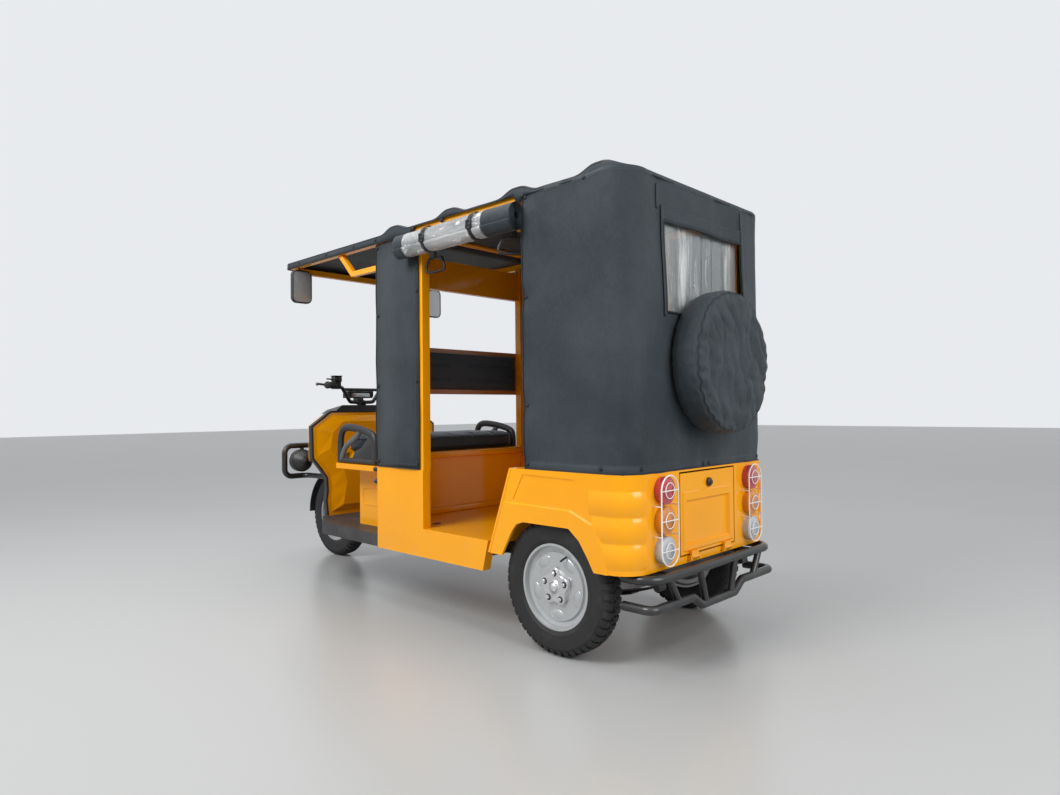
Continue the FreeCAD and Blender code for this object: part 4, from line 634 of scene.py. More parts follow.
def round_tail(run):
    """Place and outward way on the canvas, a run along it from its left front edge."""
    if run > MIDDLE_RUN:
        place, way = round_tail(CANVAS_RUN - run)
        return Vector((place.x, -place.y, 0)), Vector((way.x, -way.y, 0))
    if run < SIDE_RUN:
        return Vector((CANVAS_FRONT - run, CANVAS_HALF, 0)), Vector((0, 1, 0))
    angle = min(1.0, (run - SIDE_RUN) / CORNER_RUN) * math.pi / 2
    way = Vector((-math.sin(angle), math.cos(angle), 0))
    place = Vector((TAIL + TAIL_CORNER, CANVAS_HALF - TAIL_CORNER, 0)) + way * TAIL_CORNER
    if run > SIDE_RUN + CORNER_RUN:
        place.y -= run - SIDE_RUN - CORNER_RUN
    return place, way


# Studs on the left half, each how far along the canvas it is and its height
canvas_studs = [(0.014, z) for z in (0.694, 0.915, 1.321, 1.696)]
canvas_studs += [(CANVAS_FRONT + 0.237, 0.694), (MIDDLE_RUN - 0.415, 0.694), (MIDDLE_RUN - 0.02, 0.690)]
canvas_studs += [(CANVAS_RUN - run, z) for run, z in canvas_studs]


def canvas_point(run, z, proud=0.0):
    """A point on the tail canvas with its wrinkles, proud of the cloth by a little."""
    place, way = round_tail(run)
    gathered = max(0.0, 1 - (EAVE - z) / 0.22)
    lift = 0.0022 * (1 + cloudy((run * 1.6, z * 0.7, 0), 4.0, 3.1))
    lift += 0.0035 * gathered * (1 + cloudy((run * 3.0, z * 0.4, 0), 5.0, 9.4))
    lift += 0.0016 * (1 + cloudy((run * 2.2, z * 2.2, 0), 7.0, 5.7)) * (1 if z < 0.8 else 0.4)
    off_cover = held((math.hypot(run - MIDDLE_RUN, z - SPARE_Z) - 0.2) / 0.15)
    swell = max(0.0, 0.45 + 1.25 * cloudy((run * 1.25, z * 0.30, 0), 5.2, 21.3))
    lift += 0.0165 * swell * min(1.0, 0.35 + abs(z - HEM) * 2) * (0.35 + 0.65 * off_cover)
    nearest = min(math.hypot(run - r, (z - h) * 1.2) for r, h in canvas_studs)
    lift *= min(1.0, 0.15 + nearest / 0.09)
    if z < HEM + 0.024:
        lift += 0.0012
    droop = 0.003 * cloudy((run, 0, 0), 5.0, 1.3) if z < HEM + 0.001 else 0.0
    return place + way * (lift + proud) + Vector((REAR_AXLE_X, 0, z + droop))


def is_cut_out(run, z):
    """Whether the window or the hole for the spare wheel's carrier is here."""
    across = abs(run - MIDDLE_RUN)
    in_window = across < WINDOW_HALF and WINDOW_LOW < z < WINDOW_HIGH
    return in_window or max(across, abs(z - SPARE_Z)) < CARRIER_HOLE_HALF


tail_columns = stations(0, (MIDDLE_RUN - WINDOW_HALF, 0.013), (MIDDLE_RUN + WINDOW_HALF, 0.014),
                        (CANVAS_RUN, 0.013))
tail_rows = [HEM, HEM + 0.006, HEM + 0.0235, HEM + 0.0245]
tail_rows += stations(HEM + 0.034, (WINDOW_LOW, 0.016), (WINDOW_HIGH, 0.016), (EAVE, 0.013))
tail_canvas = woven("tail_canvas", tail_columns, tail_rows, canvas_point, is_cut_out)
fit(thickened(tail_canvas, CANVAS_THICKNESS), "canvas", replaced=["rear_canvas"])
window_area = 2 * WINDOW_HALF * (WINDOW_HIGH - WINDOW_LOW)
CANVAS_RUN * (EAVE - HEM) - window_area


def band(run_low, run_high, low, high, proud):
    """A strip sewn on the tail canvas; its runs count from the middle of the tail."""
    strip = woven("band", spread(MIDDLE_RUN + run_low, MIDDLE_RUN + run_high, 0.012),
                  spread(low, high, 0.012), lambda run, z: canvas_point(run, z, proud))
    return thickened(strip, 0.0016)


FLAP_HALF, FLAP_TOP, WELT_HALF = 0.288, 1.612, 0.290
WELT_INNER, WELT_LOW = WINDOW_HALF + 0.004, WINDOW_LOW - 0.02
flap = joined("window_flap", [
    band(-FLAP_HALF, FLAP_HALF, WINDOW_HIGH + 0.004, FLAP_TOP, 0.0032),
    band(-WELT_HALF, -WELT_INNER, WELT_LOW, FLAP_TOP, 0.0052),
    band(WELT_INNER, WELT_HALF, WELT_LOW, FLAP_TOP, 0.0052),
    band(-0.318, -0.306, 1.596, 1.682, 0.004),
    band(0.268, 0.280, 1.618, 1.69, 0.0055)])
fit(flap, "canvas")

half, low, high = (edge + 0.004 * way for edge, way in ((WINDOW_HALF, 1), (WINDOW_LOW, -1), (WINDOW_HIGH, 1)))
window_corners = [(-half, low), (half, low), (half, high), (-half, high)]
window_edge = []
for (y0, z0), (y1, z1) in zip(window_corners, window_corners[1:] + window_corners[:1]):
    steps = 20 if z0 == z1 else 12
    window_edge += [canvas_point(MIDDLE_RUN + y0 + (y1 - y0) * i / steps, z0 + (z1 - z0) * i / steps, 0.003)
                    for i in range(steps)]
fit(beading("window_piping", window_edge, 0.0042, closed=True), "piping")

PANE_LAP = 0.01


def pane_point(y, z):
    """The clear pane, hanging in soft pleats from its top hem."""
    hang = (WINDOW_HIGH - z) / (WINDOW_HIGH - WINDOW_LOW)
    pleat = math.sin(y * 78 + 1.8 * cloudy((y, z * 0.2, 0), 6, 2.2)) * 0.0042
    pleat += 0.0025 * cloudy((y * 2.5, z * 0.3, 0), 7.0, 4.4)
    edge = min(1.0, (WINDOW_HALF + PANE_LAP - abs(y)) / 0.03)
    edge *= min(1.0, 0.3 + hang * 2) * min(1.0, (1.05 - hang) * 6)
    return Vector((REAR_AXLE_X + TAIL + 0.009 + pleat * edge, -y, z))


pane = woven("tail_window_pane", spread(-WINDOW_HALF - PANE_LAP, WINDOW_HALF + PANE_LAP, 0.008),
             spread(WINDOW_LOW - PANE_LAP, WINDOW_HIGH + PANE_LAP, 0.012), pane_point)
fit(thickened(pane, 0.0006), "clear_sheet", replaced=["rear_window"])


def hooded_studs(name, spots):
    """Canvas studs, hooded in the canvas's own piping."""
    profile = [(0.0, 0.0055), (0.004, 0.0052), (0.0075, 0.0035), (0.009, 0.0), (0.009, -0.002), (0.0, -0.002)]
    set_on(name, turned_stamp("stud", profile, 16), spots, "piping")


hooded_studs("canvas_studs", [(canvas_point(run, z, 0.001), round_tail(run)[1], UP)
                              for run, z in canvas_studs])
long_run, tall_run = spread(0.004, CANVAS_RUN - 0.004, 0.02), spread(0.70, 1.70, 0.02)
sewn("canvas_stitches", [
    [canvas_point(run, HEM + 0.020, 0.0004) for run in long_run],
    [canvas_point(0.024, z, 0.0004) for z in tall_run],
    [canvas_point(CANVAS_RUN - 0.024, z, 0.0004) for z in tall_run],
    [canvas_point(MIDDLE_RUN + run, 1.606, 0.0036) for run in spread(-0.284, 0.284, 0.02)],
    [canvas_point(run, EAVE - 0.016, 0.0006) for run in long_run]])

# Canvas roof: one sheet over the bows, turned down along its sides and front
ROOF_FRONT = 1.950
ROOF_Z = 1.7192
BOWS = [-0.245 + 0.398 * i for i in range(4)]
BOW_SWELL, BOW_REACH = 0.0255, 0.10


def roof_height(x, y):
    """How high the canvas lies: it swells over each bow and dips a little between the rails."""
    swell = 0.0
    for bow in BOWS:
        away = max(0.0, abs(x - bow) - 0.014)
        if away < BOW_REACH:
            swell = max(swell, 0.5 + 0.5 * math.cos(math.pi * away / BOW_REACH))
    inside = held((0.43 - abs(y)) / 0.10) * held(min((x - TAIL - 0.05) / 0.1, (1.90 - x) / 0.1))
    sag = 0.0045 * inside * (1 - swell) * (1 + 0.6 * cloudy((x, y, 0), 3.0, 8.2))
    return ROOF_Z + BOW_SWELL * swell ** 1.15 - sag + 0.0006 * cloudy((x * 2, y, 0), 9.0, 2.6)


def roof_half(x):
    """Half the roof's width, less where the tail corners are rounded."""
    behind = max(0.0, min(TAIL_CORNER, TAIL + TAIL_CORNER - x))
    return CANVAS_HALF - TAIL_CORNER + math.sqrt(TAIL_CORNER ** 2 - behind ** 2)


def roof_place(x, share):
    """A point of the flat of the roof, a share of its half width from its middle."""
    y = share * roof_half(x)
    return Vector((x + REAR_AXLE_X, y, roof_height(x, y)))


def turned_down(shape, edges, out, down):
    """Carries the sheet's edge outwards and down by a depth that may change along the roof."""
    grown = bmesh.ops.extrude_edge_only(shape, edges=edges)["geom"]
    for vert in [g for g in grown if isinstance(g, bmesh.types.BMVert)]:
        x, y = vert.co.x - REAR_AXLE_X, vert.co.y
        centre = Vector((max(TAIL + TAIL_CORNER, min(x, ROOF_FRONT - 0.02)),
                         math.copysign(min(abs(y), CANVAS_HALF - TAIL_CORNER), y), 0))
        way = Vector((x, y, 0)) - centre
        if x > TAIL + TAIL_CORNER + 0.001:
            at_front = abs(y) < CANVAS_HALF - 0.006 and x > ROOF_FRONT - 0.01
            way = Vector((1, 0, 0)) if at_front else Vector((0, y, 0))
        vert.co += way.normalized() * out - Vector((0, 0, down(x)))
    return [g for g in grown if isinstance(g, bmesh.types.BMEdge) and g.is_boundary]


def flap_depth(x):
    """The turned-down edge: short over the tail canvas, deeper beside the rails and at the front."""
    if x < CANVAS_FRONT:
        return 0.012
    if 0.16 < x < 0.80:
        return 0.002
    return 0.036 + 0.004 * cloudy((x, 0, 0), 4.0, 6.3)


def flap_step(x):
    """Half the flap: its lower edge stays level where the roof swells over a bow."""
    return (flap_depth(x) * 0.8 + roof_height(x, CANVAS_HALF) - ROOF_Z) / 2


def roof_sheet(name):
    """The flat of the roof, and its edge in four steps round the rails and down."""
    ahead = [TAIL + TAIL_CORNER * (1 - math.sin(math.radians(a))) for a in (90, 72, 54, 38, 24, 12)]
    ahead += spread(TAIL + TAIL_CORNER, ROOF_FRONT, 0.013)
    flat = woven(name, ahead, spread(-1.0, 1.0, 0.035), roof_place)
    shape = bmesh.new()
    shape.from_mesh(flat.data)
    bpy.data.objects.remove(flat)
    edges = [e for e in shape.edges if e.is_boundary]
    rounding = [(0.004, lambda x: 0.0012), (0.002, lambda x: 0.005)]
    for out, down in rounding + [(0.0015, flap_step), (-0.0005, flap_step)]:
        edges = turned_down(shape, edges, out, down)
    return from_bmesh(name, shape)


roof = roof_sheet("roof_cloth")
fit(thickened(roof, 0.0022, 1.0), "canvas", replaced=["roof_canvas"])
HOOKS = (-0.181, 0.122, 0.599, 0.81, 1.091, 1.281, 1.536, 1.817)
hooded_studs("roof_studs", [((x + REAR_AXLE_X, side * (CANVAS_HALF + 0.0085), 1.703), (0, side, 0), UP)
                            for x in HOOKS for side in SIDES])
sewn("roof_stitches", [
    [(x + REAR_AXLE_X, side * (CANVAS_HALF + 0.0082), 1.6915) for x in spread(0.13, 1.93, 0.03)]
    for side in SIDES])
eave_line = [(x + REAR_AXLE_X, CANVAS_HALF + 0.006, roof_height(x, CANVAS_HALF) - 0.0045)
             for x in spread(-0.26, 1.94, 0.02)]
fit(both_sides("roof_piping", beading("eave", eave_line, 0.0032)), "piping")

# Narrow canvas strips in front of the doors, bowed between their studs
STRIP_REAR, STRIP_FRONT = 0.772, 1.097
STRIP_LOW, STRIP_HIGH = 0.640, 1.682
FRONT_STUD_X, REAR_STUD_X = 1.085, 0.784
FRONT_STUDS, REAR_STUDS = (0.664, 1.015, 1.345, 1.664), (0.664, 1.03, 1.43, 1.664)


def strip_point(x, z, proud=0.0):
    """The strip's cloth: its edges scallop between the studs and its middle bellies a little."""
    share = (x - STRIP_REAR) / (STRIP_FRONT - STRIP_REAR)
    in_front = share > 0.5
    slack = min(1.0, min(abs(z - height) for height in (FRONT_STUDS if in_front else REAR_STUDS)) / 0.12)
    edge = abs(2 * share - 1) ** 3
    x += 0.0070 * slack * edge * (1 if in_front else -0.5) * cloudy((0, 0, z), 6.0, 3.3)
    belly = 0.0062 * (1 - edge) * (1 + cloudy((x * 2, 0, z), 4.0, 6.6)) + 0.002 * edge * slack
    return Vector((x + REAR_AXLE_X, CANVAS_HALF + belly + proud, z))


strip = woven("strip", spread(STRIP_FRONT, STRIP_REAR, 0.012), spread(STRIP_LOW, STRIP_HIGH, 0.015),
              strip_point)
strip = both_sides("door_strips", thickened(strip, 0.0022))
fit(strip, "canvas", replaced=["strip_canvas"])
strip_studs = [(FRONT_STUD_X, z) for z in FRONT_STUDS] + [(REAR_STUD_X, z) for z in REAR_STUDS]
hooded_studs("strip_studs", [((x + REAR_AXLE_X, side * (strip_point(x, z).y + 0.001), z), (0, side, 0), UP)
                             for x, z in strip_studs for side in SIDES])
strip_seams = [[strip_point(x, z, 0.0004) for z in spread(STRIP_LOW + 0.01, STRIP_HIGH - 0.01, 0.02)]
               for x in (STRIP_REAR + 0.022, STRIP_FRONT - 0.022)]
strip_seams.append([strip_point(x, STRIP_LOW + 0.02, 0.0004) for x in spread(STRIP_REAR, STRIP_FRONT, 0.02)])
sewn("strip_stitches", [[(point.x, side * point.y, point.z) for point in run]
                        for side in SIDES for run in strip_seams])
hems = [[strip_point(x, z, 0.0006) for z in spread(STRIP_LOW, STRIP_HIGH, 0.02)]
        for x in (STRIP_REAR, STRIP_FRONT)]
hems += [[strip_point(x, STRIP_LOW, 0.0006) for x in spread(STRIP_REAR, STRIP_FRONT, 0.02)],
         [canvas_point(0.002, z, 0.0006) for z in spread(HEM, EAVE - 0.02, 0.02)],
         [canvas_point(run, HEM + 0.001, 0.0006) for run in spread(0.002, MIDDLE_RUN, 0.02)]]
fit(both_sides("canvas_hems", *(beading("hem", hem, HEM_BEAD) for hem in hems)), "piping")

# Side curtains, rolled up under the eaves: canvas ends with a clear window rolled between them
ROLL_Y, ROLL_Z = 0.5303, 1.636
ROLL_OUT, ROLL_IN, ROLL_PITCH = 0.0438, 0.011, 0.0062
ROLL_TURNS = (ROLL_OUT - ROLL_IN) / ROLL_PITCH
STRAP_STATIONS, STRAP_WIDTH, STRAP_RADIUS = (0.335, 0.635), 0.022, 0.0437
# The rolls hang slack in their straps, taller than they are wide
SLACK = (Matrix.Translation((0, ROLL_Y, ROLL_Z - 0.013)) @ Matrix.Diagonal((1, 1.03, 1.26, 1))
         @ Matrix.Translation((0, -ROLL_Y, -ROLL_Z)))


def on_roll(x, radius, angle):
    """A point at a radius round the roll, its angle counted outwards from the top."""
    return Vector((x + REAR_AXLE_X, ROLL_Y + radius * math.sin(angle), ROLL_Z + radius * math.cos(angle)))


def rolled(turn, x):
    """A point of the rolled curtain, counted in turns from its outer edge inwards."""
    angle = 2 * math.pi * turn + 1.9
    up, out = math.cos(angle) * 0.2, math.sin(angle) * 0.2
    dent = 0.0010 * cloudy((x * 1.2, up, out), 14.0, 3.9) + 0.0006 * cloudy((x * 8, up, out), 9.0, 7.9)
    radius = ROLL_OUT - ROLL_PITCH * turn + min(0.0005, dent)
    for strap in STRAP_STATIONS:
        radius -= 0.0018 * math.exp(-((x - strap) / 0.018) ** 2) * (1 - turn / ROLL_TURNS)
    return SLACK @ on_roll(x, radius, angle)


CURTAINS = [
    # piece, rear end, front end, slot, step along it
    ("curtain_rear_end", 0.113, 0.272, "canvas", 0.012),
    ("curtain_window", 0.2725, 0.7795, "clear_roll", 0.009),
    ("curtain_front_end", 0.780, 0.849, "canvas", 0.012)]
for name, low, high, slot, step in CURTAINS:
    roll = woven("roll", spread(0.0, ROLL_TURNS, 0.025), spread(low, high, step), rolled)
    roll = both_sides(name, thickened(roll, 0.0014))
    fit(roll, slot, replaced=["curtain_rolls"])


def strap_round(x):
    """A webbing strap round the roll that goes up over the roof's edge."""
    path = [Vector((x + REAR_AXLE_X, ROLL_Y - 0.0445, 1.693))]
    path += [on_roll(x, STRAP_RADIUS, math.radians(degrees)) for degrees in range(-62, 263, 13)]
    strap = woven("strap", path, (-STRAP_WIDTH / 2, 0, STRAP_WIDTH / 2),
                  lambda point, offset: point + FORWARD * offset)
    return thickened(strap, 0.0013, 0.0)


BUCKLE_BARS = [
    # place forward and up from the buckle's middle; size along, out and up
    (0, 0.012, 0.028, 0.004, 0.004), (0, 0, 0.028, 0.004, 0.003), (0, -0.012, 0.028, 0.004, 0.004),
    (-0.013, 0, 0.004, 0.0042, 0.028), (0.013, 0, 0.004, 0.0042, 0.028)]


def buckle(x):
    """A ladder buckle on the strap's outer side."""
    shape = bmesh.new()
    for ahead, above, *size in BUCKLE_BARS:
        place = (x + REAR_AXLE_X + ahead, ROLL_Y + 0.0445, ROLL_Z + above)
        bmesh.ops.create_cube(shape, size=1.0, matrix=Matrix.Translation(place) @ Matrix.Diagonal((*size, 1)))
    bmesh.ops.bevel(shape, geom=shape.edges[:], offset=0.0008, segments=2, affect="EDGES")
    return from_bmesh("buckle", shape)


for name, make, slot in (("roll_straps", strap_round, "piping"), ("roll_buckles", buckle, "black_plastic")):
    fit(both_sides(name, *(moved(make(x), SLACK) for x in STRAP_STATIONS)), slot)

# Spare wheel in its gathered cover: a crumpled round face, pleats at the seam, elastic behind
SPARE_FACE = -0.4988
COVER_COLUMNS = 408
COVER_SECTION = [
    # share along the cover from the face's middle to the elastic: radius, then station
    (0.0, 0.003, -0.4945), (0.30, 0.100, -0.4950), (0.52, 0.190, -0.4965), (0.62, 0.232, -0.4955),
    (0.68, 0.252, -0.4890), (0.74, 0.2635, -0.4720), (0.82, 0.2655, -0.4400), (0.90, 0.2640, -0.4050),
    (0.95, 0.2560, -0.3800), (0.98, 0.2380, -0.3710), (1.0, 0.2050, -0.3690)]


def cover_section(share):
    """The cover's radius and station at a share along it."""
    for low, high in zip(COVER_SECTION, COVER_SECTION[1:]):
        if share <= high[0]:
            part = (share - low[0]) / (high[0] - low[0])
            return [low[k] + (high[k] - low[k]) * part for k in (1, 2)]
    return COVER_SECTION[-1][1:]


def cover_point(turn, share):
    """The cover's cloth, with pleats that die out towards the middle and long slack folds."""
    angle = 2 * math.pi * turn
    radius, station = cover_section(share)
    rise, run = math.cos(angle), math.sin(angle)
    pleat = math.sin(angle * 34 + 2.2 * cloudy((rise * 1.2, run * 1.2, 0), 2.2, 4.0))
    strength = math.exp(-((share - 0.71) / 0.075) ** 2) * (0.65 + 0.5 * cloudy((rise, run, 0), 2.5, 7.0))
    strength += 0.8 * max(0.0, (share - 0.90) / 0.10)
    fold = cloudy((radius * rise * 1.3, radius * run * 0.6, share), 8.0, 2.5)
    fold += 0.5 * cloudy((radius * rise * 3.1, radius * run * 1.4, share), 9.0, 6.5)
    slant = (radius * (rise * 0.55 + run * 1.5), radius * (run * 0.4 - rise * 0.9), 0)
    crease = (1 - abs(cloudy(slant, 5.5, 12.5))) ** 6 + 0.6 * (1 - abs(cloudy(slant, 10.0, 3.5))) ** 6
    on_face = held((0.86 - share) / 0.2)
    radius += min(0.0018, 0.0030 * pleat * strength - 0.001)
    radius *= 1 - 0.012 * max(0.0, fold) * (share > 0.6)
    station += 0.0046 * pleat * strength * (1 if share < 0.8 else 0.3)
    station += (0.0066 * fold + 0.0062 * crease) * on_face + 0.0030
    return Vector((REAR_AXLE_X + max(station, SPARE_FACE), -radius * run, SPARE_Z + radius * rise))


cover_turns = [i / COVER_COLUMNS for i in range(COVER_COLUMNS)]
cover = woven("spare_cover", cover_turns, stations(0.0, (0.5, 0.03), (1.0, 0.0125)), cover_point, closed=True)
fit(thickened(cover, 0.0012), "canvas", replaced=["spare_wheel"])
seam = [cover_point(turn, 0.695) - FORWARD * 0.0010 for turn in cover_turns[::3]]
fit(beading("spare_cover_piping", seam, 0.0026, closed=True, roundness=1), "piping")

# Tyres: carcass, shoulder and crown blocks, standing in for the plain tyres
TYRE_BLOCKS = 46
CROWN_RADIUS = 0.2444
CARCASS = [
    # radius, half width: bead, rim guard, sidewall, shoulder and crown
    (0.1585, 0.0410), (0.1655, 0.0436), (0.1705, 0.0450), (0.1718, 0.0464), (0.1740, 0.0466),
    (0.1755, 0.0463), (0.188, 0.0484), (0.205, 0.0496), (0.220, 0.0489), (0.2230, 0.0491), (0.2255, 0.0480),
    (0.234, 0.0440), (0.2395, 0.0385), (0.2425, 0.0280), (0.2440, 0.0140), (CROWN_RADIUS, 0.0)]
SHOULDER_BLOCK = [
    # offset, radius: over the top from the crown to the sidewall, and back under
    (0.0125, 0.2498), (0.0270, 0.2490), (0.0375, 0.2460), (0.0450, 0.2390), (0.0492, 0.2275),
    (0.0476, 0.2270), (0.0425, 0.2355), (0.0360, 0.2405), (0.0260, 0.2420), (0.0125, 0.2432)]
CROWN_BLOCK = [(0.0012, 0.2500), (0.0098, 0.2499), (0.0098, 0.2430), (0.0012, 0.2432)]


def spoke(turn):
    """The way outwards from an axle at a turn from straight up."""
    return Vector((math.sin(turn), 0, math.cos(turn)))


def rim_way(turn):
    """The way along a wheel's rim at a turn."""
    return Vector((math.cos(turn), 0, -math.sin(turn)))


def block_stamp(name, section, length, skew):
    """A tread block: a section across the tyre drawn out along it, leaning forward further out."""
    outermost = max(offset for offset, _ in section)
    shape = skin([[(end * length + skew * offset / outermost, offset, radius - CROWN_RADIUS)
                   for offset, radius in section] for end in (-0.5, 0.5)], ends=True)
    sharp = [e for e in shape.edges if e.calc_face_angle(0) > 0.6]
    return from_bmesh(name, broken(shape, 0.0012, 1, sharp))


def treaded_tyre(name, centre, body, node):
    """A carcass of its own, its tread blocks set on it in turn to the left and the right."""
    section = CARCASS + [(radius, -offset) for radius, offset in reversed(CARCASS[:-1])]
    rings = [[spoke(turn) * radius + LEFT * offset for radius, offset in section] for turn in turns(144)]
    carcass = skin(rings, looped=True)
    fit(moved(from_bmesh(name, carcass), Matrix.Translation(centre)), "tyre", body, replaced=[node])
    spots = [(centre + spoke(turn) * CROWN_RADIUS, spoke(turn), rim_way(turn) * (1 if i % 2 else -1))
             for i, turn in enumerate(turns(TYRE_BLOCKS * 2))]
    for label, block, length, skew in (("shoulder", SHOULDER_BLOCK, 0.0235, 0.007),
                                       ("crown", CROWN_BLOCK, 0.024, 0.004)):
        stamp = block_stamp(label + "_block", block, length, skew)
        set_on(name + "_" + label + "_blocks", stamp, spots, "tyre", body, smooth=False)


FRONT_AXLE = Vector((REAR_AXLE_X + WHEEL_BASE, 0, AXLE_HEIGHT))
REAR_WHEELS = {side: Vector((REAR_AXLE_X, sign * 0.425, AXLE_HEIGHT))
               for side, sign in (("left", 1), ("right", -1))}
treaded_tyre("front_tyre_rubber", FRONT_AXLE, "front_wheel", "front_tyre")
for side, centre in REAR_WHEELS.items():
    treaded_tyre("rear_tyre_rubber_" + side, centre, "rear_wheel_" + side, "rear_tyre_" + side)

# Pressed swellings, hub plate, nuts, cap and valve on the wheels' faces, with black rings of painted shade
# round the nuts
LUGS = 5
WHEEL_DISC, WHEEL_HUB = 0.028, 0.038
HUMP_TURNS = [math.pi * (2 * i + 1) / LUGS for i in range(LUGS)]
HUMP = [(0.0, 0.0040), (0.005, 0.0039), (0.010, 0.0033), (0.014, 0.0022), (0.0175, 0.0010), (0.0205, 0.0002),
        (0.0210, -0.0008), (0.0, -0.0008)]
NUT = [(0.0, 0.0120), (0.0030, 0.0120), (0.0036, 0.0110), (0.0036, 0.0080), (0.00688, 0.0080),
       (0.0080, 0.0066), (0.0080, -0.001), (0.0, -0.001)]
# A thin black disc under each nut: painted shade of the recess it sits in.
SHADE_RING = [(0.0, 0.0007), (0.0118, 0.0007), (0.0126, -0.0006), (0.0, -0.0006)]
CAP = [(0.0, 0.013), (0.006, 0.0126), (0.012, 0.0110), (0.0165, 0.0078), (0.0182, 0.0040), (0.0186, 0.0),
       (0.0256, 0.0006), (0.0266, -0.003), (0.0, -0.003)]
HUB_PLATE_RADIUS, HUB_PLATE_LOBE, HUB_PLATE_THICKNESS = 0.0610, 0.0085, 0.004
VALVE_TURN = math.radians(-24)


def hub_plate(name, facing):
    """A thin plate with rounded lobes, its edge broken, lying across the axle."""
    rings = []
    for inset, height in ((0.0, 0.0), (0.0, HUB_PLATE_THICKNESS - 0.0008), (0.0010, HUB_PLATE_THICKNESS)):
        rings.append([spoke(turn) * (HUB_PLATE_RADIUS - inset + HUB_PLATE_LOBE * math.cos(LUGS * turn))
                      + LEFT * facing * height for turn in turns(80)])
    return from_bmesh(name, skin(rings, ends=True))


def hump_stamp():
    """A low swelling, longer along the rim."""
    return moved(turned_stamp("hump", HUMP, 32), Matrix.Diagonal((1.55, 0.9, 1.0, 1.0)))


def dress_wheel(name, centre, body, facing):
    """The small things on one face of a rear wheel: facing is 1 for its left face, -1 for its right."""
    way = LEFT * facing
    on_hub = centre + way * WHEEL_HUB
    humps = [(centre + spoke(turn) * 0.1020 + way * WHEEL_DISC, way, rim_way(turn)) for turn in HUMP_TURNS]
    set_on(name + "_humps", hump_stamp(), humps, "rim_silver", body)
    plate = moved(hub_plate(name + "_plate", facing), Matrix.Translation(on_hub + way * 0.0002))
    fit(plate, "bright_steel", body, smooth=False)
    nuts = [(on_hub + spoke(turn) * 0.0500 + way * 0.0038, way, spoke(turn)) for turn in turns(LUGS)]
    set_on(name + "_nuts", turned_stamp("nut", NUT, 6), nuts, "bright_steel", body, smooth=False)
    # Painted shade: a black disc under each nut stands in for the shade round it.
    set_on(name + "_wells", turned_stamp("well", SHADE_RING, 24), nuts, "tyre", body)
    set_on(name + "_cap", turned_stamp("cap", CAP, 40), [(on_hub + way * 0.0042, way, FORWARD)],
           "bright_steel", body)
    path = [centre + spoke(VALVE_TURN) * radius + way * (WHEEL_DISC + offset)
            for radius, offset in ((0.124, 0.001), (0.121, 0.014), (0.111, 0.030))]
    fit(tube(name + "_valve", path, 0.0036), "tyre", body)


for side, centre in REAR_WHEELS.items():
    dress_wheel("rear_wheel_" + side, centre, "rear_wheel_" + side, 1 if side == "left" else -1)
front_humps = [(FRONT_AXLE + spoke(turn) * 0.0945 + way * 0.005, way, rim_way(turn))
               for turn in HUMP_TURNS for way in (-LEFT, LEFT)]
set_on("front_wheel_humps", hump_stamp(), front_humps, "rim_silver", "front_wheel")


# Seats: each pad is a closed form filled by simulation, then sewn through along its channels
PAD_CELL, PAD_INSET = 0.009, 0.008
CHANNEL_DEPTH, CHANNEL_WIDTH = 0.0065, 0.009


def filled(name, low, high, rest, cap, corner):
    """A pad blown up inside its place; rest is the axis and side that it lies flat against."""
    low, high = Vector(low), Vector(high)
    axis, side = rest
    inset = Vector([PAD_INSET] * 3)
    inner_low, inner_high = low + inset, high - inset
    if side < 0:
        inner_low[axis] = low[axis] + 0.0006
    else:
        inner_high[axis] = high[axis] - 0.0006
    pad = from_bmesh(name, broken(box(inner_low, inner_high), corner, 3))
    remesh = pad.modifiers.new("cells", "REMESH")
    remesh.mode = "VOXEL"
    remesh.voxel_size = PAD_CELL
    pad = settled(pad)
    start = [v.co.copy() for v in pad.data.vertices]
    cloth = pad.modifiers.new("cloth", "CLOTH")
    cloth.settings.use_pressure = True
    cloth.settings.uniform_pressure_force = 4.0
    cloth.settings.quality = 4
    cloth.settings.effector_weights.gravity = 0.0
    for frame_number in range(1, 21):
        bpy.context.scene.frame_set(frame_number)
    pad = settled(pad)
    bpy.context.scene.frame_set(1)
    for vert, from_place in zip(pad.data.vertices, start):
        move = vert.co - from_place
        if move.length > cap:
            move *= cap / move.length
        place = from_place + move
        if side < 0:
            place[axis] = max(place[axis], low[axis] + 0.0005)
            lies_flat = from_place[axis] < inner_low[axis] + 0.004
        else:
            place[axis] = min(place[axis], high[axis] - 0.0005)
            lies_flat = from_place[axis] > inner_high[axis] - 0.004
        if lies_flat:
            place[axis] = from_place[axis]
        vert.co = place
    finer = pad.modifiers.new("finer", "SUBSURF")
    finer.levels = 1
    finer.render_levels = 1
    return settled(pad)


def pressed_in(pad, depth_at):
    """Moves each point of a pad inwards along its normal by a depth."""
    for vert, normal in [(v, v.normal.copy()) for v in pad.data.vertices]:
        vert.co -= normal * depth_at(vert.co, normal)


def laid_on(pad, points, lift):
    """Points brought onto a pad's skin and lifted a little."""
    tree = BVHTree.FromPolygons([v.co for v in pad.data.vertices], [p.vertices for p in pad.data.polygons])
    found = [tree.find_nearest(point) for point in points]
    return [place + normal * lift for place, normal, _, _ in found]


def rounded(u0, u1, v0, v1, radius, steps):
    """Pairs round a rectangle with rounded corners."""
    corners = [(u1 - radius, v1 - radius), (u0 + radius, v1 - radius), (u0 + radius, v0 + radius),
               (u1 - radius, v0 + radius)]
    bends = [[math.radians(90 * (quarter + i / steps)) for i in range(steps + 1)] for quarter in range(4)]
    return [(u + radius * math.cos(turn), v + radius * math.sin(turn))
            for (u, v), bend in zip(corners, bends) for turn in bend]


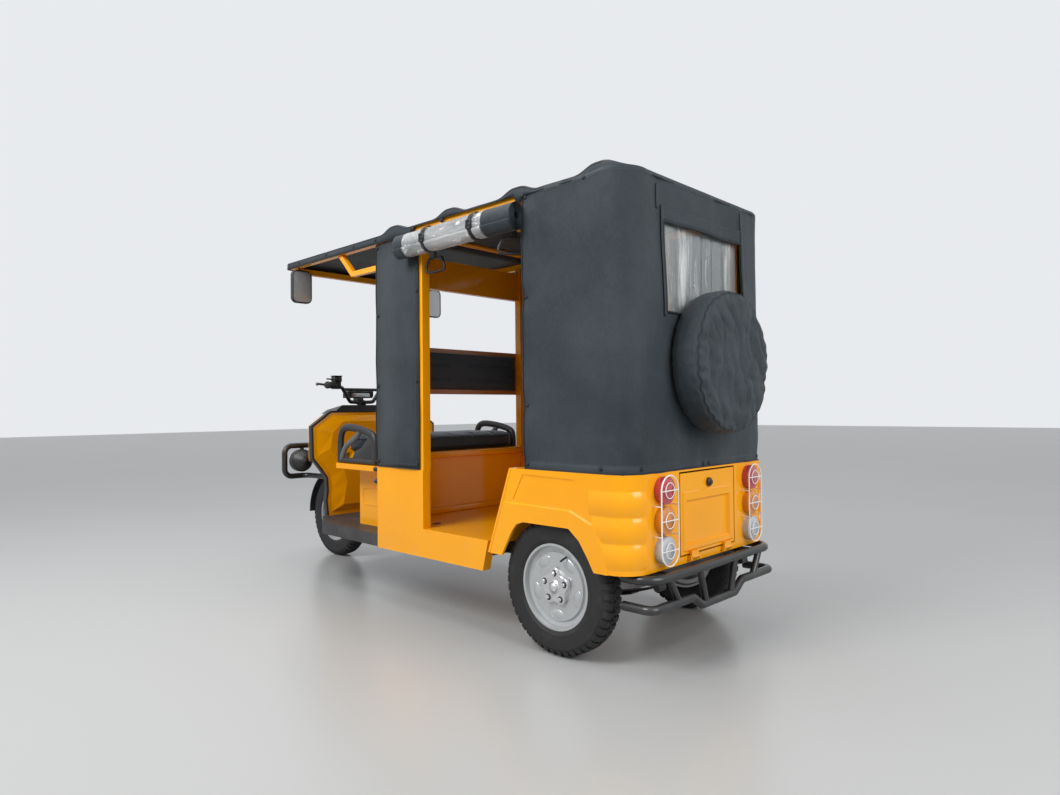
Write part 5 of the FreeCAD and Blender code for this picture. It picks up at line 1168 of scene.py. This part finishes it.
def welt_ring(low, high, level, margin):
    """Points round a cushion at one height, a margin in from its sides, its corners cut round."""
    sides = (low[0] + margin, high[0] - margin, low[1] + margin, high[1] - margin)
    outline = [Vector((x, y, level)) for x, y in rounded(*sides, 0.03, 4)]
    points = []
    for start, end in zip(outline, outline[1:] + outline[:1]):
        count = max(1, round((end - start).length / 0.02))
        points += [start.lerp(end, i / count) for i in range(count)]
    return points


def seat_cushion(name, low, high, node, channels):
    """A bench cushion: blown up, its top sewn through in channels, welted round its top and bottom."""
    pad = filled(name, low, high, (2, -1), 0.012, 0.02)

    def depth_at(place, normal):
        if normal.z < 0.35:
            return 0.0
        inside = held(min((place.x - low[0]) / 0.05, (high[0] - place.x) / 0.05))
        crease = 0.0015 * max(0.0, cloudy((place.x * 0.6, place.y * 1.6, 0), 9.0, 4.4))
        nearest = min(abs(place.y - y) for y in channels)
        return inside * CHANNEL_DEPTH * math.exp(-(nearest / CHANNEL_WIDTH) ** 2) + crease

    pressed_in(pad, depth_at)
    fit(pad, "vinyl", replaced=[node])
    for label, level, margin in (("top", high[2] - 0.012, 0.004), ("bottom", low[2] + 0.014, 0.006)):
        ring = laid_on(pad, welt_ring(low, high, level, margin), 0.0006)
        fit(tube(name + "_welt_" + label, ring, 0.0034, closed=True), "piping")
    along = spread(low[0] + 0.03, high[0] - 0.03, 0.012)
    sewn(name + "_stitches", [laid_on(pad, [Vector((x, y, high[2] + 0.02)) for x in along], 0.0004)
                              for y in channels])


for name, low, high, node, gap in (
        ("driver_seat_pad", (0.0993, -0.436, 0.6903), (0.4643, 0.436, 0.7763), "driver_cushion", 0.145),
        ("rear_seat_pad", (-1.264, -0.4408, 0.6903), (-0.851, 0.4408, 0.7753), "rear_cushion", 0.147)):
    seat_cushion(name, low, high, node, [gap * i for i in range(-2, 3)])


def back_pad(name, low, high, node, lines, facing=1):
    """A backrest's pad on one side of its board, with sewn lines in halves; facing is the way it looks."""
    pad = filled(name, low, high, (0, -facing), 0.008, 0.011)
    halves = ((low[1] + 0.05, -0.05), (0.05, high[1] - 0.05))
    runs = [(z, y0, y1) for z in lines for y0, y1 in halves]

    def depth_at(place, normal):
        if normal.x * facing < 0.4:
            crease = 0.0015 * max(0.0, cloudy((place.x, place.y * 2.0, place.z), 9.0, 2.4))
            return crease if abs(normal.z) > 0.6 else 0.0
        depth = 0.0014 * max(0.0, cloudy((0, place.y, place.z * 1.6), 7.0, 6.4))
        for z, y0, y1 in runs:
            ends = held(min((place.y - y0) / 0.03, (y1 - place.y) / 0.03))
            depth += ends * 0.0062 * math.exp(-((place.z - z) / CHANNEL_WIDTH) ** 2)
        return depth

    pressed_in(pad, depth_at)
    fit(pad, "vinyl", replaced=[node])
    outside = high[0] + 0.02 if facing > 0 else low[0] - 0.02
    stitched = [laid_on(pad, [Vector((outside, y, z)) for y in spread(y0 + 0.01, y1 - 0.01, 0.012)], 0.0005)
                for z, y0, y1 in runs]
    sewn(name + "_stitches", stitched, spacing=0.009, length=0.0062, thread=0.0011)


BACK_LINES = (1.058, 1.132)
back_pad("driver_back_pad", (0.1062, -0.4411, 0.985), (0.131, 0.4411, 1.208), "driver_backrest", BACK_LINES)
back_pad("passenger_side_pad", (0.069, -0.4411, 0.985), (0.0938, 0.4411, 1.208), "driver_backrest",
         BACK_LINES, -1)
fit(plate("driver_back_board", (0.094, -0.4411, 0.980), (0.106, 0.4411, 1.213)), "brown_board",
    smooth=False)
back_pad("rear_back_pad", (-1.2237, -0.4408, 0.804), (-1.1737, 0.4408, 1.176), "rear_backrest",
         (0.89, 0.985, 1.08))
fit(plate("rear_back_board", (-1.2355, -0.4408, 0.800), (-1.2240, 0.4408, 1.180)), "brown_board",
    smooth=False)


# Small fittings: lamp glasses, mirror faces, lock, trims, knobs and the floor's drain
def domed_face(name, outline, rise):
    """A faintly domed face filling an outline; rise is how far forward its middle stands."""
    centre = sum(outline, Vector()) / len(outline)
    rings = [[centre + (point - centre) * share + FORWARD * rise * (1 - share ** 2) for point in outline]
             for share in (1.0, 0.97, 0.8, 0.55, 0.25)]
    return from_bmesh(name, skin(rings + [[centre + FORWARD * rise]]))


def mirror_outline(margin, radius, ahead):
    """Points round the mirror's face at its left place, a margin out from it."""
    sides = (0.404 - margin, 0.508 + margin, 1.500 - margin, 1.666 + margin)
    return [Vector((0.857 - ahead, y, z)) for y, z in rounded(*sides, radius, 6)]


fit(both_sides("mirror_faces", domed_face("glass", mirror_outline(0.0, 0.025, 0.0012), -0.0024)), "silvered")
fit(both_sides("mirror_bezels", beading("bezel", mirror_outline(0.0035, 0.028, 0.0008), 0.0036, closed=True)),
    "mirror_black")


def on_both_sides(x, y, z, way):
    """Spots left and right of the middle that face one way, upright."""
    return [(Vector((x, side * y, z)), way, UP) for side in SIDES]


HEADLAMP_FACE, HEADLAMP_Y, HEADLAMP_Z = 1.271, 0.262, 0.602
HEADLAMP_SHELL = 0.0905
HEADLAMP_GLASS = [
    (0.0, 0.0085), (0.012, 0.0083), (0.013, 0.0076), (0.024, 0.0071), (0.025, 0.0062), (0.036, 0.0053),
    (0.037, 0.0044), (0.047, 0.0028), (0.0545, 0.0008), (0.0545, -0.002), (0.0, -0.002)]
HEADLAMP_RING = [
    (0.0535, 0.0012), (0.0552, 0.0044), (0.0585, 0.0052), (0.0612, 0.0036), (0.0622, 0.0), (0.0622, -0.008),
    (0.0535, -0.001), (0.0535, 0.0012)]
HEADLAMP_BACK = [
    (0.0, 0.0030), (0.0065, 0.0030), (0.0075, 0.0006), (0.0290, 0.0006), (0.0300, -0.0030), (0.0385, -0.0060),
    (0.0410, -0.0130), (0.0520, -0.0180), (0.0545, -0.0260), (0.0640, -0.0330), (0.0672, -0.0400),
    (0.0672, -0.0560), (0.0, -0.0560)]
for name, profile, behind, way, slot in (
        ("headlamp_glasses", HEADLAMP_GLASS, 0.0, FORWARD, "lamp_glass"),
        ("headlamp_rings", HEADLAMP_RING, 0.0, FORWARD, "bright_steel"),
        ("headlamp_backs", HEADLAMP_BACK, HEADLAMP_SHELL, -FORWARD, "black_plastic")):
    set_on(name, turned_stamp("lamp_part", profile, 48),
           on_both_sides(HEADLAMP_FACE - behind, HEADLAMP_Y, HEADLAMP_Z, way), slot)

LENS_FACE, GUARD_FACE, LENS_Y = -1.390, -1.4005, 0.312
LENS_HEIGHTS = {"red": 0.616, "amber": 0.513, "white": 0.410}
TAIL_LENS = [
    (0.0, 0.0050), (0.009, 0.0049), (0.010, 0.0043), (0.018, 0.0042), (0.019, 0.0035), (0.027, 0.0033),
    (0.028, 0.0026), (0.036, 0.0022), (0.037, 0.0015), (0.0430, 0.0006), (0.0455, -0.0006), (0.0, -0.0006)]
for colour, height in LENS_HEIGHTS.items():
    set_on("tail_lens_" + colour, turned_stamp("tail_lens", TAIL_LENS, 40),
           on_both_sides(LENS_FACE, LENS_Y, height, -FORWARD), colour + "_lens")
guard_rings = [
    beading("ring", [(GUARD_FACE, side * LENS_Y + 0.027 * math.cos(turn), height + 0.027 * math.sin(turn))
                     for turn in turns(24)], 0.0017, closed=True)
    for side in SIDES for height in LENS_HEIGHTS.values()]
fit(joined("lamp_guard_rings", guard_rings), "wire_white")

LOCK = [(0.0, 0.0095), (0.0066, 0.0093), (0.0078, 0.0080), (0.0080, 0.0036), (0.0128, 0.0032),
        (0.0162, 0.0010), (0.0168, -0.0045), (0.0, -0.0045)]
set_on("hatch_lock", turned_stamp("lock", LOCK, 32), [(Vector((-1.3742, 0, 0.620)), -FORWARD, UP)],
       "black_plastic", "hatch")

# The leg shield's edge trim, and its rear face pressed in facets
SHIELD_BACK, SHIELD_THICKNESS = 0.821, 0.028
SHIELD = [
    (0.328, 0.318), (0.336, 0.404), (0.328, 0.458), (0.332, 0.526), (0.364, 0.572), (0.418, 0.640),
    (0.422, 0.815), (0.305, 0.898)]
SHIELD_EDGE = SHIELD + [(-y, z) for y, z in reversed(SHIELD)]
SHIELD_FRONT = SHIELD_BACK + SHIELD_THICKNESS
TRIM_SECTION = [
    # station, and how far out from the plate's edge: over it and a little way on to its rear face
    (SHIELD_BACK - 0.0012, -0.008), (SHIELD_BACK - 0.0022, -0.001), (SHIELD_BACK - 0.0012, 0.0022),
    (SHIELD_BACK + 0.002, 0.0030), (SHIELD_FRONT - 0.002, 0.0030), (SHIELD_FRONT, 0.0022)]


def trim_place(corner, section):
    """A point on the trim: the outline's corner moved outwards along its mitre."""
    x, proud = TRIM_SECTION[section]
    here = Vector(SHIELD_EDGE[corner])
    ways = [(Vector(b) - Vector(a)).normalized()
            for a, b in zip(SHIELD_EDGE[:-1], SHIELD_EDGE[1:])][max(0, corner - 1):corner + 1]
    along = (ways[0] + ways[-1]).normalized()
    lean = max(0.6, ways[0].dot(along))
    return Vector((x, here.x + along.y * proud / lean, here.y - along.x * proud / lean))


trim = woven("cowl_edge_trim", range(len(SHIELD_EDGE)), range(len(TRIM_SECTION)), trim_place)
fit(thickened(trim, 0.0018), "black_plastic", smooth=False)
FACET_HEIGHTS = (0.372, 0.430, 0.500, 0.566, 0.628, 0.690, 0.778, 0.838)
OUTER = [
    (0.300, 0.336), (0.306, 0.404), (0.300, 0.458), (0.303, 0.532), (0.336, 0.586), (0.391, 0.650),
    (0.394, 0.802), (0.292, 0.874)]
INNER = list(zip((0.236, 0.226, 0.214, 0.232, 0.268, 0.318, 0.300, 0.236), FACET_HEIGHTS))
MIDDLE = [(0.0, z) for z in FACET_HEIGHTS]
FACET_FOOT, FACET_HEAD, FACET_EDGE_DEPTH = 0.336, 0.874, 0.0006


def pressed_shield():
    """The facets: a raised field with sloping borders, folded again down its middle."""
    columns = []
    for points, depth, side in ((OUTER, FACET_EDGE_DEPTH, 1), (INNER, 0.018, 1), (MIDDLE, 0.012, 1),
                                (INNER, 0.018, -1), (OUTER, FACET_EDGE_DEPTH, -1)):
        column = [(SHIELD_BACK - depth, side * y, z) for y, z in points]
        foot, head = ((SHIELD_BACK - FACET_EDGE_DEPTH, column[end][1], z)
                      for end, z in ((0, FACET_FOOT), (-1, FACET_HEAD)))
        columns.append([foot, *column, head])
    pressing = woven("cowl_back_pressing", range(len(columns)), range(len(columns[0])),
                     lambda i, j: columns[i][j])
    shape = bmesh.new()
    shape.from_mesh(pressing.data)
    bmesh.ops.remove_doubles(shape, verts=shape.verts, dist=1e-6)
    bmesh.ops.recalc_face_normals(shape, faces=shape.faces)
    shape.to_mesh(pressing.data)
    shape.free()
    return pressing


pressing = pressed_shield()
soften = pressing.modifiers.new("soften", "BEVEL")
soften.width = 0.003
soften.segments = 2
fit(settled(pressing), "orange_paint", smooth=False)

# Knobs by the near armrest, the drain in the cabin floor, and the partition's foot strip and lip
KNOB = [(0.0, 0.013), (0.006, 0.0125), (0.0085, 0.0105), (0.0092, 0.0030), (0.0120, 0.0020), (0.0125, -0.001),
        (0.0, -0.001)]
set_on("seat_box_knobs", turned_stamp("knob", KNOB, 24),
       [(Vector((x, 0.4792, z)), LEFT, UP) for x, z in ((0.119, 0.622), (0.111, 0.566))], "black_plastic")
DRAIN = [(0.0, 0.0008), (0.0085, 0.0008), (0.0100, 0.0026), (0.0125, 0.0026), (0.0135, 0.0004),
         (0.0135, -0.0004), (0.0, -0.0004)]
set_on("floor_drain", moved(turned_stamp("drain", DRAIN, 32), Matrix.Diagonal((1.7, 1.0, 1.0, 1.0))),
       [(Vector((-0.182, 0.355, 0.381)), UP, LEFT)], "black_plastic")
fit(plate("partition_foot", (0.0572, -0.4405, 0.3812), (0.0688, 0.4405, 0.4105), 0.004), "orange_paint")
fit(plate("partition_lip", (0.0472, -0.4405, 0.6585), (0.0688, 0.4405, 0.6885), 0.006), "orange_paint")

# The pressed frame low on each side of the box below the driver's seat
box_frame = [Vector((x, 0.3504, z)) for x, z in rounded(0.120, 0.425, 0.418, 0.502, 0.018, 6)]
fit(both_sides("seat_box_frames", beading("frame", box_frame, 0.0026, closed=True)), "orange_paint")

# Handlebar fittings: levers with ball ends, fluid reservoirs, ribbed grips and the gauge's hood and glass
CLAMP = Vector((0.98315, 0, 0.948))
LEVER_FOOT = CLAMP + Vector((-0.030, 0.200, 0.104))
LEVER_WAY = Vector((-0.35, 1.0, 0)).normalized()
LEVER_SWEEP = [(0.0, 0.0), (0.03, 0.0015), (0.07, 0.0020), (0.11, 0.0005), (0.146, -0.0020)]
LEVER_BALL = 0.0095
lever_path = [LEVER_FOOT + LEVER_WAY * far + Vector((side, 0, -side)) for far, side in LEVER_SWEEP]
blade = tube("blade", lever_path, 0.0066)
ball_profile = [(0.0, LEVER_BALL)]
ball_profile += [(LEVER_BALL * math.sin(turn), LEVER_BALL * math.cos(turn)) for turn in turns(18)[1:9]]
ball = turned_stamp("ball", ball_profile + [(0.0, -LEVER_BALL)], 20)
moved(ball, Matrix.Translation(LEVER_FOOT + LEVER_WAY * 0.149))
fit(both_sides("brake_levers", blade, ball), "grey_plastic", "steering")
fit(both_sides("bar_reservoirs",
               plate("perch", (0.938, 0.186, 1.038), (0.967, 0.228, 1.067), 0.005),
               plate("tank", (0.904, 0.180, 1.066), (0.947, 0.230, 1.099), 0.006),
               plate("lid", (0.902, 0.178, 1.0985), (0.949, 0.232, 1.104), 0.0022),
               tube("choke", [(0.930, 0.226, 1.080), (0.925, 0.250, 1.084), (0.918, 0.272, 1.083)], 0.0042)),
    "black_plastic", "steering")
GRIP_RADIUS, RIB_RADIUS, RIB_PITCH = 0.0176, 0.0187, 0.005
grip_profile = [(0.0, -0.0022), (0.0190, -0.0022), (0.0205, -0.0008), (0.0205, 0.0030), (GRIP_RADIUS, 0.0042)]
for i in range(22):
    grip_profile += [(radius, height + RIB_PITCH * i) for radius, height in (
        (GRIP_RADIUS, 0.0060), (RIB_RADIUS, 0.0070), (RIB_RADIUS, 0.0086), (GRIP_RADIUS, 0.0096))]
grip_profile += [(0.0172, 0.1180), (0.0, 0.1180)]
grip_spots = []
for side in SIDES:
    grip_end = CLAMP + Vector((-0.176, side * 0.331, 0.096))
    grip_spots.append((grip_end, (CLAMP + Vector((-0.040, side * 0.190, 0.100)) - grip_end).normalized(), UP))
set_on("bar_grips", turned_stamp("grip", grip_profile, 28), grip_spots, "tyre", "steering")
hood = joined("gauge_hood", [
    plate("hood", (0.988, -0.088, 1.0130), (1.057, 0.088, 1.0172), 0.0018),
    plate("cheek", (0.990, -0.0885, 0.984), (1.030, -0.0846, 1.0150), 0.0016),
    plate("cheek", (0.990, 0.0846, 0.984), (1.030, 0.0885, 1.0150), 0.0016)])
fit(hood, "black_plastic", "steering")
gauge_outline = [Vector((0.9936, y, z)) for y, z in rounded(-0.066, 0.066, 0.981, 1.007, 0.008, 6)]
# The gauge glass wears the mirror finish, whose pale grey is painted reflection.
fit(domed_face("gauge_glass", gauge_outline, -0.0012), "silvered", "steering")
fit(beading("gauge_rim", gauge_outline, 0.0018, closed=True), "grey_plastic", "steering")

# Grab rings: a strap from the rail and a rounded ring, wider below
RAIL_LOW, HAND_Y = 1.6867, 0.4664
RING_TOP, RING_LOW = RAIL_LOW - 0.126, RAIL_LOW - 0.188
RING_HALF = [(0.024, RING_TOP), (0.046, RING_TOP - 0.003), (0.054, RING_TOP - 0.022),
             (0.065, RING_LOW + 0.014), (0.053, RING_LOW + 0.001)]
rings = []
for station, swing in ((0.676, 0), (0.190, 52)):
    path = [(-across, 0, z) for across, z in RING_HALF]
    path += [(across, 0, z) for across, z in reversed(RING_HALF)]
    strap = plate("strap", (-0.010, -0.0014, RING_TOP - 0.006), (0.010, 0.0014, RAIL_LOW), 0.0006)
    hanging = joined("ring", [tube("loop", path, 0.0058, closed=True), strap])
    place = Matrix.Translation((station + REAR_AXLE_X, HAND_Y, 0))
    rings.append(moved(hanging, place @ Matrix.Rotation(math.radians(swing), 4, "Z")))
fit(both_sides("grab_rings", *rings), "black_plastic", replaced=["grab_handles"])

# Armrests: moulded loops with a lighter strut that curves up through them, standing in for the plain ones
ARM_Y, ARM_WEB_HALF = 0.463, 0.006
ARM_FLAT = (Matrix.Translation((0, ARM_Y, 0)) @ Matrix.Diagonal((1, 0.82, 1, 1))
            @ Matrix.Translation((0, -ARM_Y, 0)))
ARM_LOOP = [
    (0.458, 0.655), (0.460, 0.720), (0.450, 0.785), (0.420, 0.815), (0.360, 0.8175), (0.260, 0.806),
    (0.175, 0.786), (0.148, 0.765), (0.146, 0.700), (0.146, 0.655)]
ARM_FOOT = [(0.134, 0.651), (0.300, 0.651), (0.470, 0.651)]
ARM_STRUT = [(0.446, 0.650), (0.434, 0.690), (0.398, 0.728), (0.345, 0.752), (0.300, 0.775), (0.272, 0.806)]
ARM_WEB = [(0.140, 0.648), (0.140, 0.760), (0.196, 0.772), (0.262, 0.716), (0.318, 0.700), (0.352, 0.648)]


def arm_bar(path, radius, roundness):
    """One bar of the left armrest, a little flatter than round."""
    return moved(tube("bar", [(x, ARM_Y, z) for x, z in path], radius, roundness=roundness), ARM_FLAT)


web_sides = [[(x, ARM_Y + side * ARM_WEB_HALF, z) for x, z in ARM_WEB] for side in SIDES]
web = skin(web_sides, ends=True)
loops = both_sides("armrest_loops", arm_bar(ARM_LOOP, 0.0185, 4), arm_bar(ARM_FOOT, 0.0145, 3),
                   from_bmesh("web", broken(web, 0.0015)))
fit(loops, "black_plastic", replaced=["driver_armrests"])
fit(both_sides("armrest_struts", arm_bar(ARM_STRUT, 0.0150, 3)), "grey_plastic")

# Stage: pale floor and backdrop, even light and the camera at the photograph's place
FLOOR_HALF, FLOOR_Z = 30, -0.0005
floor_mesh = bpy.data.meshes.new("stage_floor")
floor_corners = [(x * FLOOR_HALF, y * FLOOR_HALF, FLOOR_Z) for x, y in ((-1, -1), (1, -1), (1, 1), (-1, 1))]
floor_mesh.from_pydata(floor_corners, [], [(0, 1, 2, 3)])
floor_paint = Finish("stage_pale", (0.42, 0.425, 0.42), 0.28)
floor_paint.set("Roughness", 0.27 + floor_paint.noise(0.7, 1) * 0.03)
floor_mesh.materials.append(floor_paint.material)
floor = linked("stage_floor", floor_mesh)

# The world is brighter where the camera or a reflection sees it than where it lights the vehicle
world = bpy.data.worlds.new("studio")
world.use_nodes = True
bpy.context.scene.world = world
sky = Nodes(world.node_tree)
seen = sky.add("ShaderNodeMath", {"operation": "MAXIMUM"}, {
    0: sky.add("ShaderNodeLightPath", {}, {}, "Is Camera Ray"),
    1: sky.add("ShaderNodeLightPath", {}, {}, "Is Glossy Ray")})
background = world.node_tree.nodes["Background"]
background.inputs["Color"].default_value = (0.95, 0.97, 1.0, 1)
strength = sky.add("ShaderNodeMapRange", {}, {"Value": seen, "To Min": 0.36, "To Max": 0.85})
sky.put(background.inputs["Strength"], strength)

LAMP_AIM = Vector((0, 0, 0.8))
LAMPS = [
    # name, place, size in metres, power in watts
    ("key", (-0.2, 4.4, 4.3), 2.4, 248),
    ("fill", (-5.0, 0.3, 2.8), 2.6, 128),
    ("top", (0.5, 0.6, 5.0), 3.5, 90)]
for name, place, size, power in LAMPS:
    lamp = bpy.data.lights.new(name, "AREA")
    lamp.size = size
    lamp.energy = power
    hung = linked(name, lamp)
    hung.location = place
    hung.rotation_euler = (LAMP_AIM - Vector(place)).to_track_quat("-Z", "Y").to_euler()

CAMERA_PLACE = Vector((-2.749, 2.398, 0.902))
YAW, PITCH, ROLL = (math.radians(a) for a in (-46.05, 0.89, -0.55))
ahead = Vector((math.cos(YAW) * math.cos(PITCH), math.sin(YAW) * math.cos(PITCH), math.sin(PITCH)))
level_right = ahead.cross(UP).normalized()
level_up = level_right.cross(ahead)
right = level_right * math.cos(ROLL) + level_up * math.sin(ROLL)
up = level_up * math.cos(ROLL) - level_right * math.sin(ROLL)
camera = linked("camera", bpy.data.cameras.new("camera"))
camera.data.lens = 24.14
camera.data.sensor_width = 36
camera.matrix_world = Matrix.Translation(CAMERA_PLACE) @ Matrix((right, up, -ahead)).transposed().to_4x4()
bpy.context.scene.camera = camera
bpy.context.scene.view_settings.view_transform = "Standard"
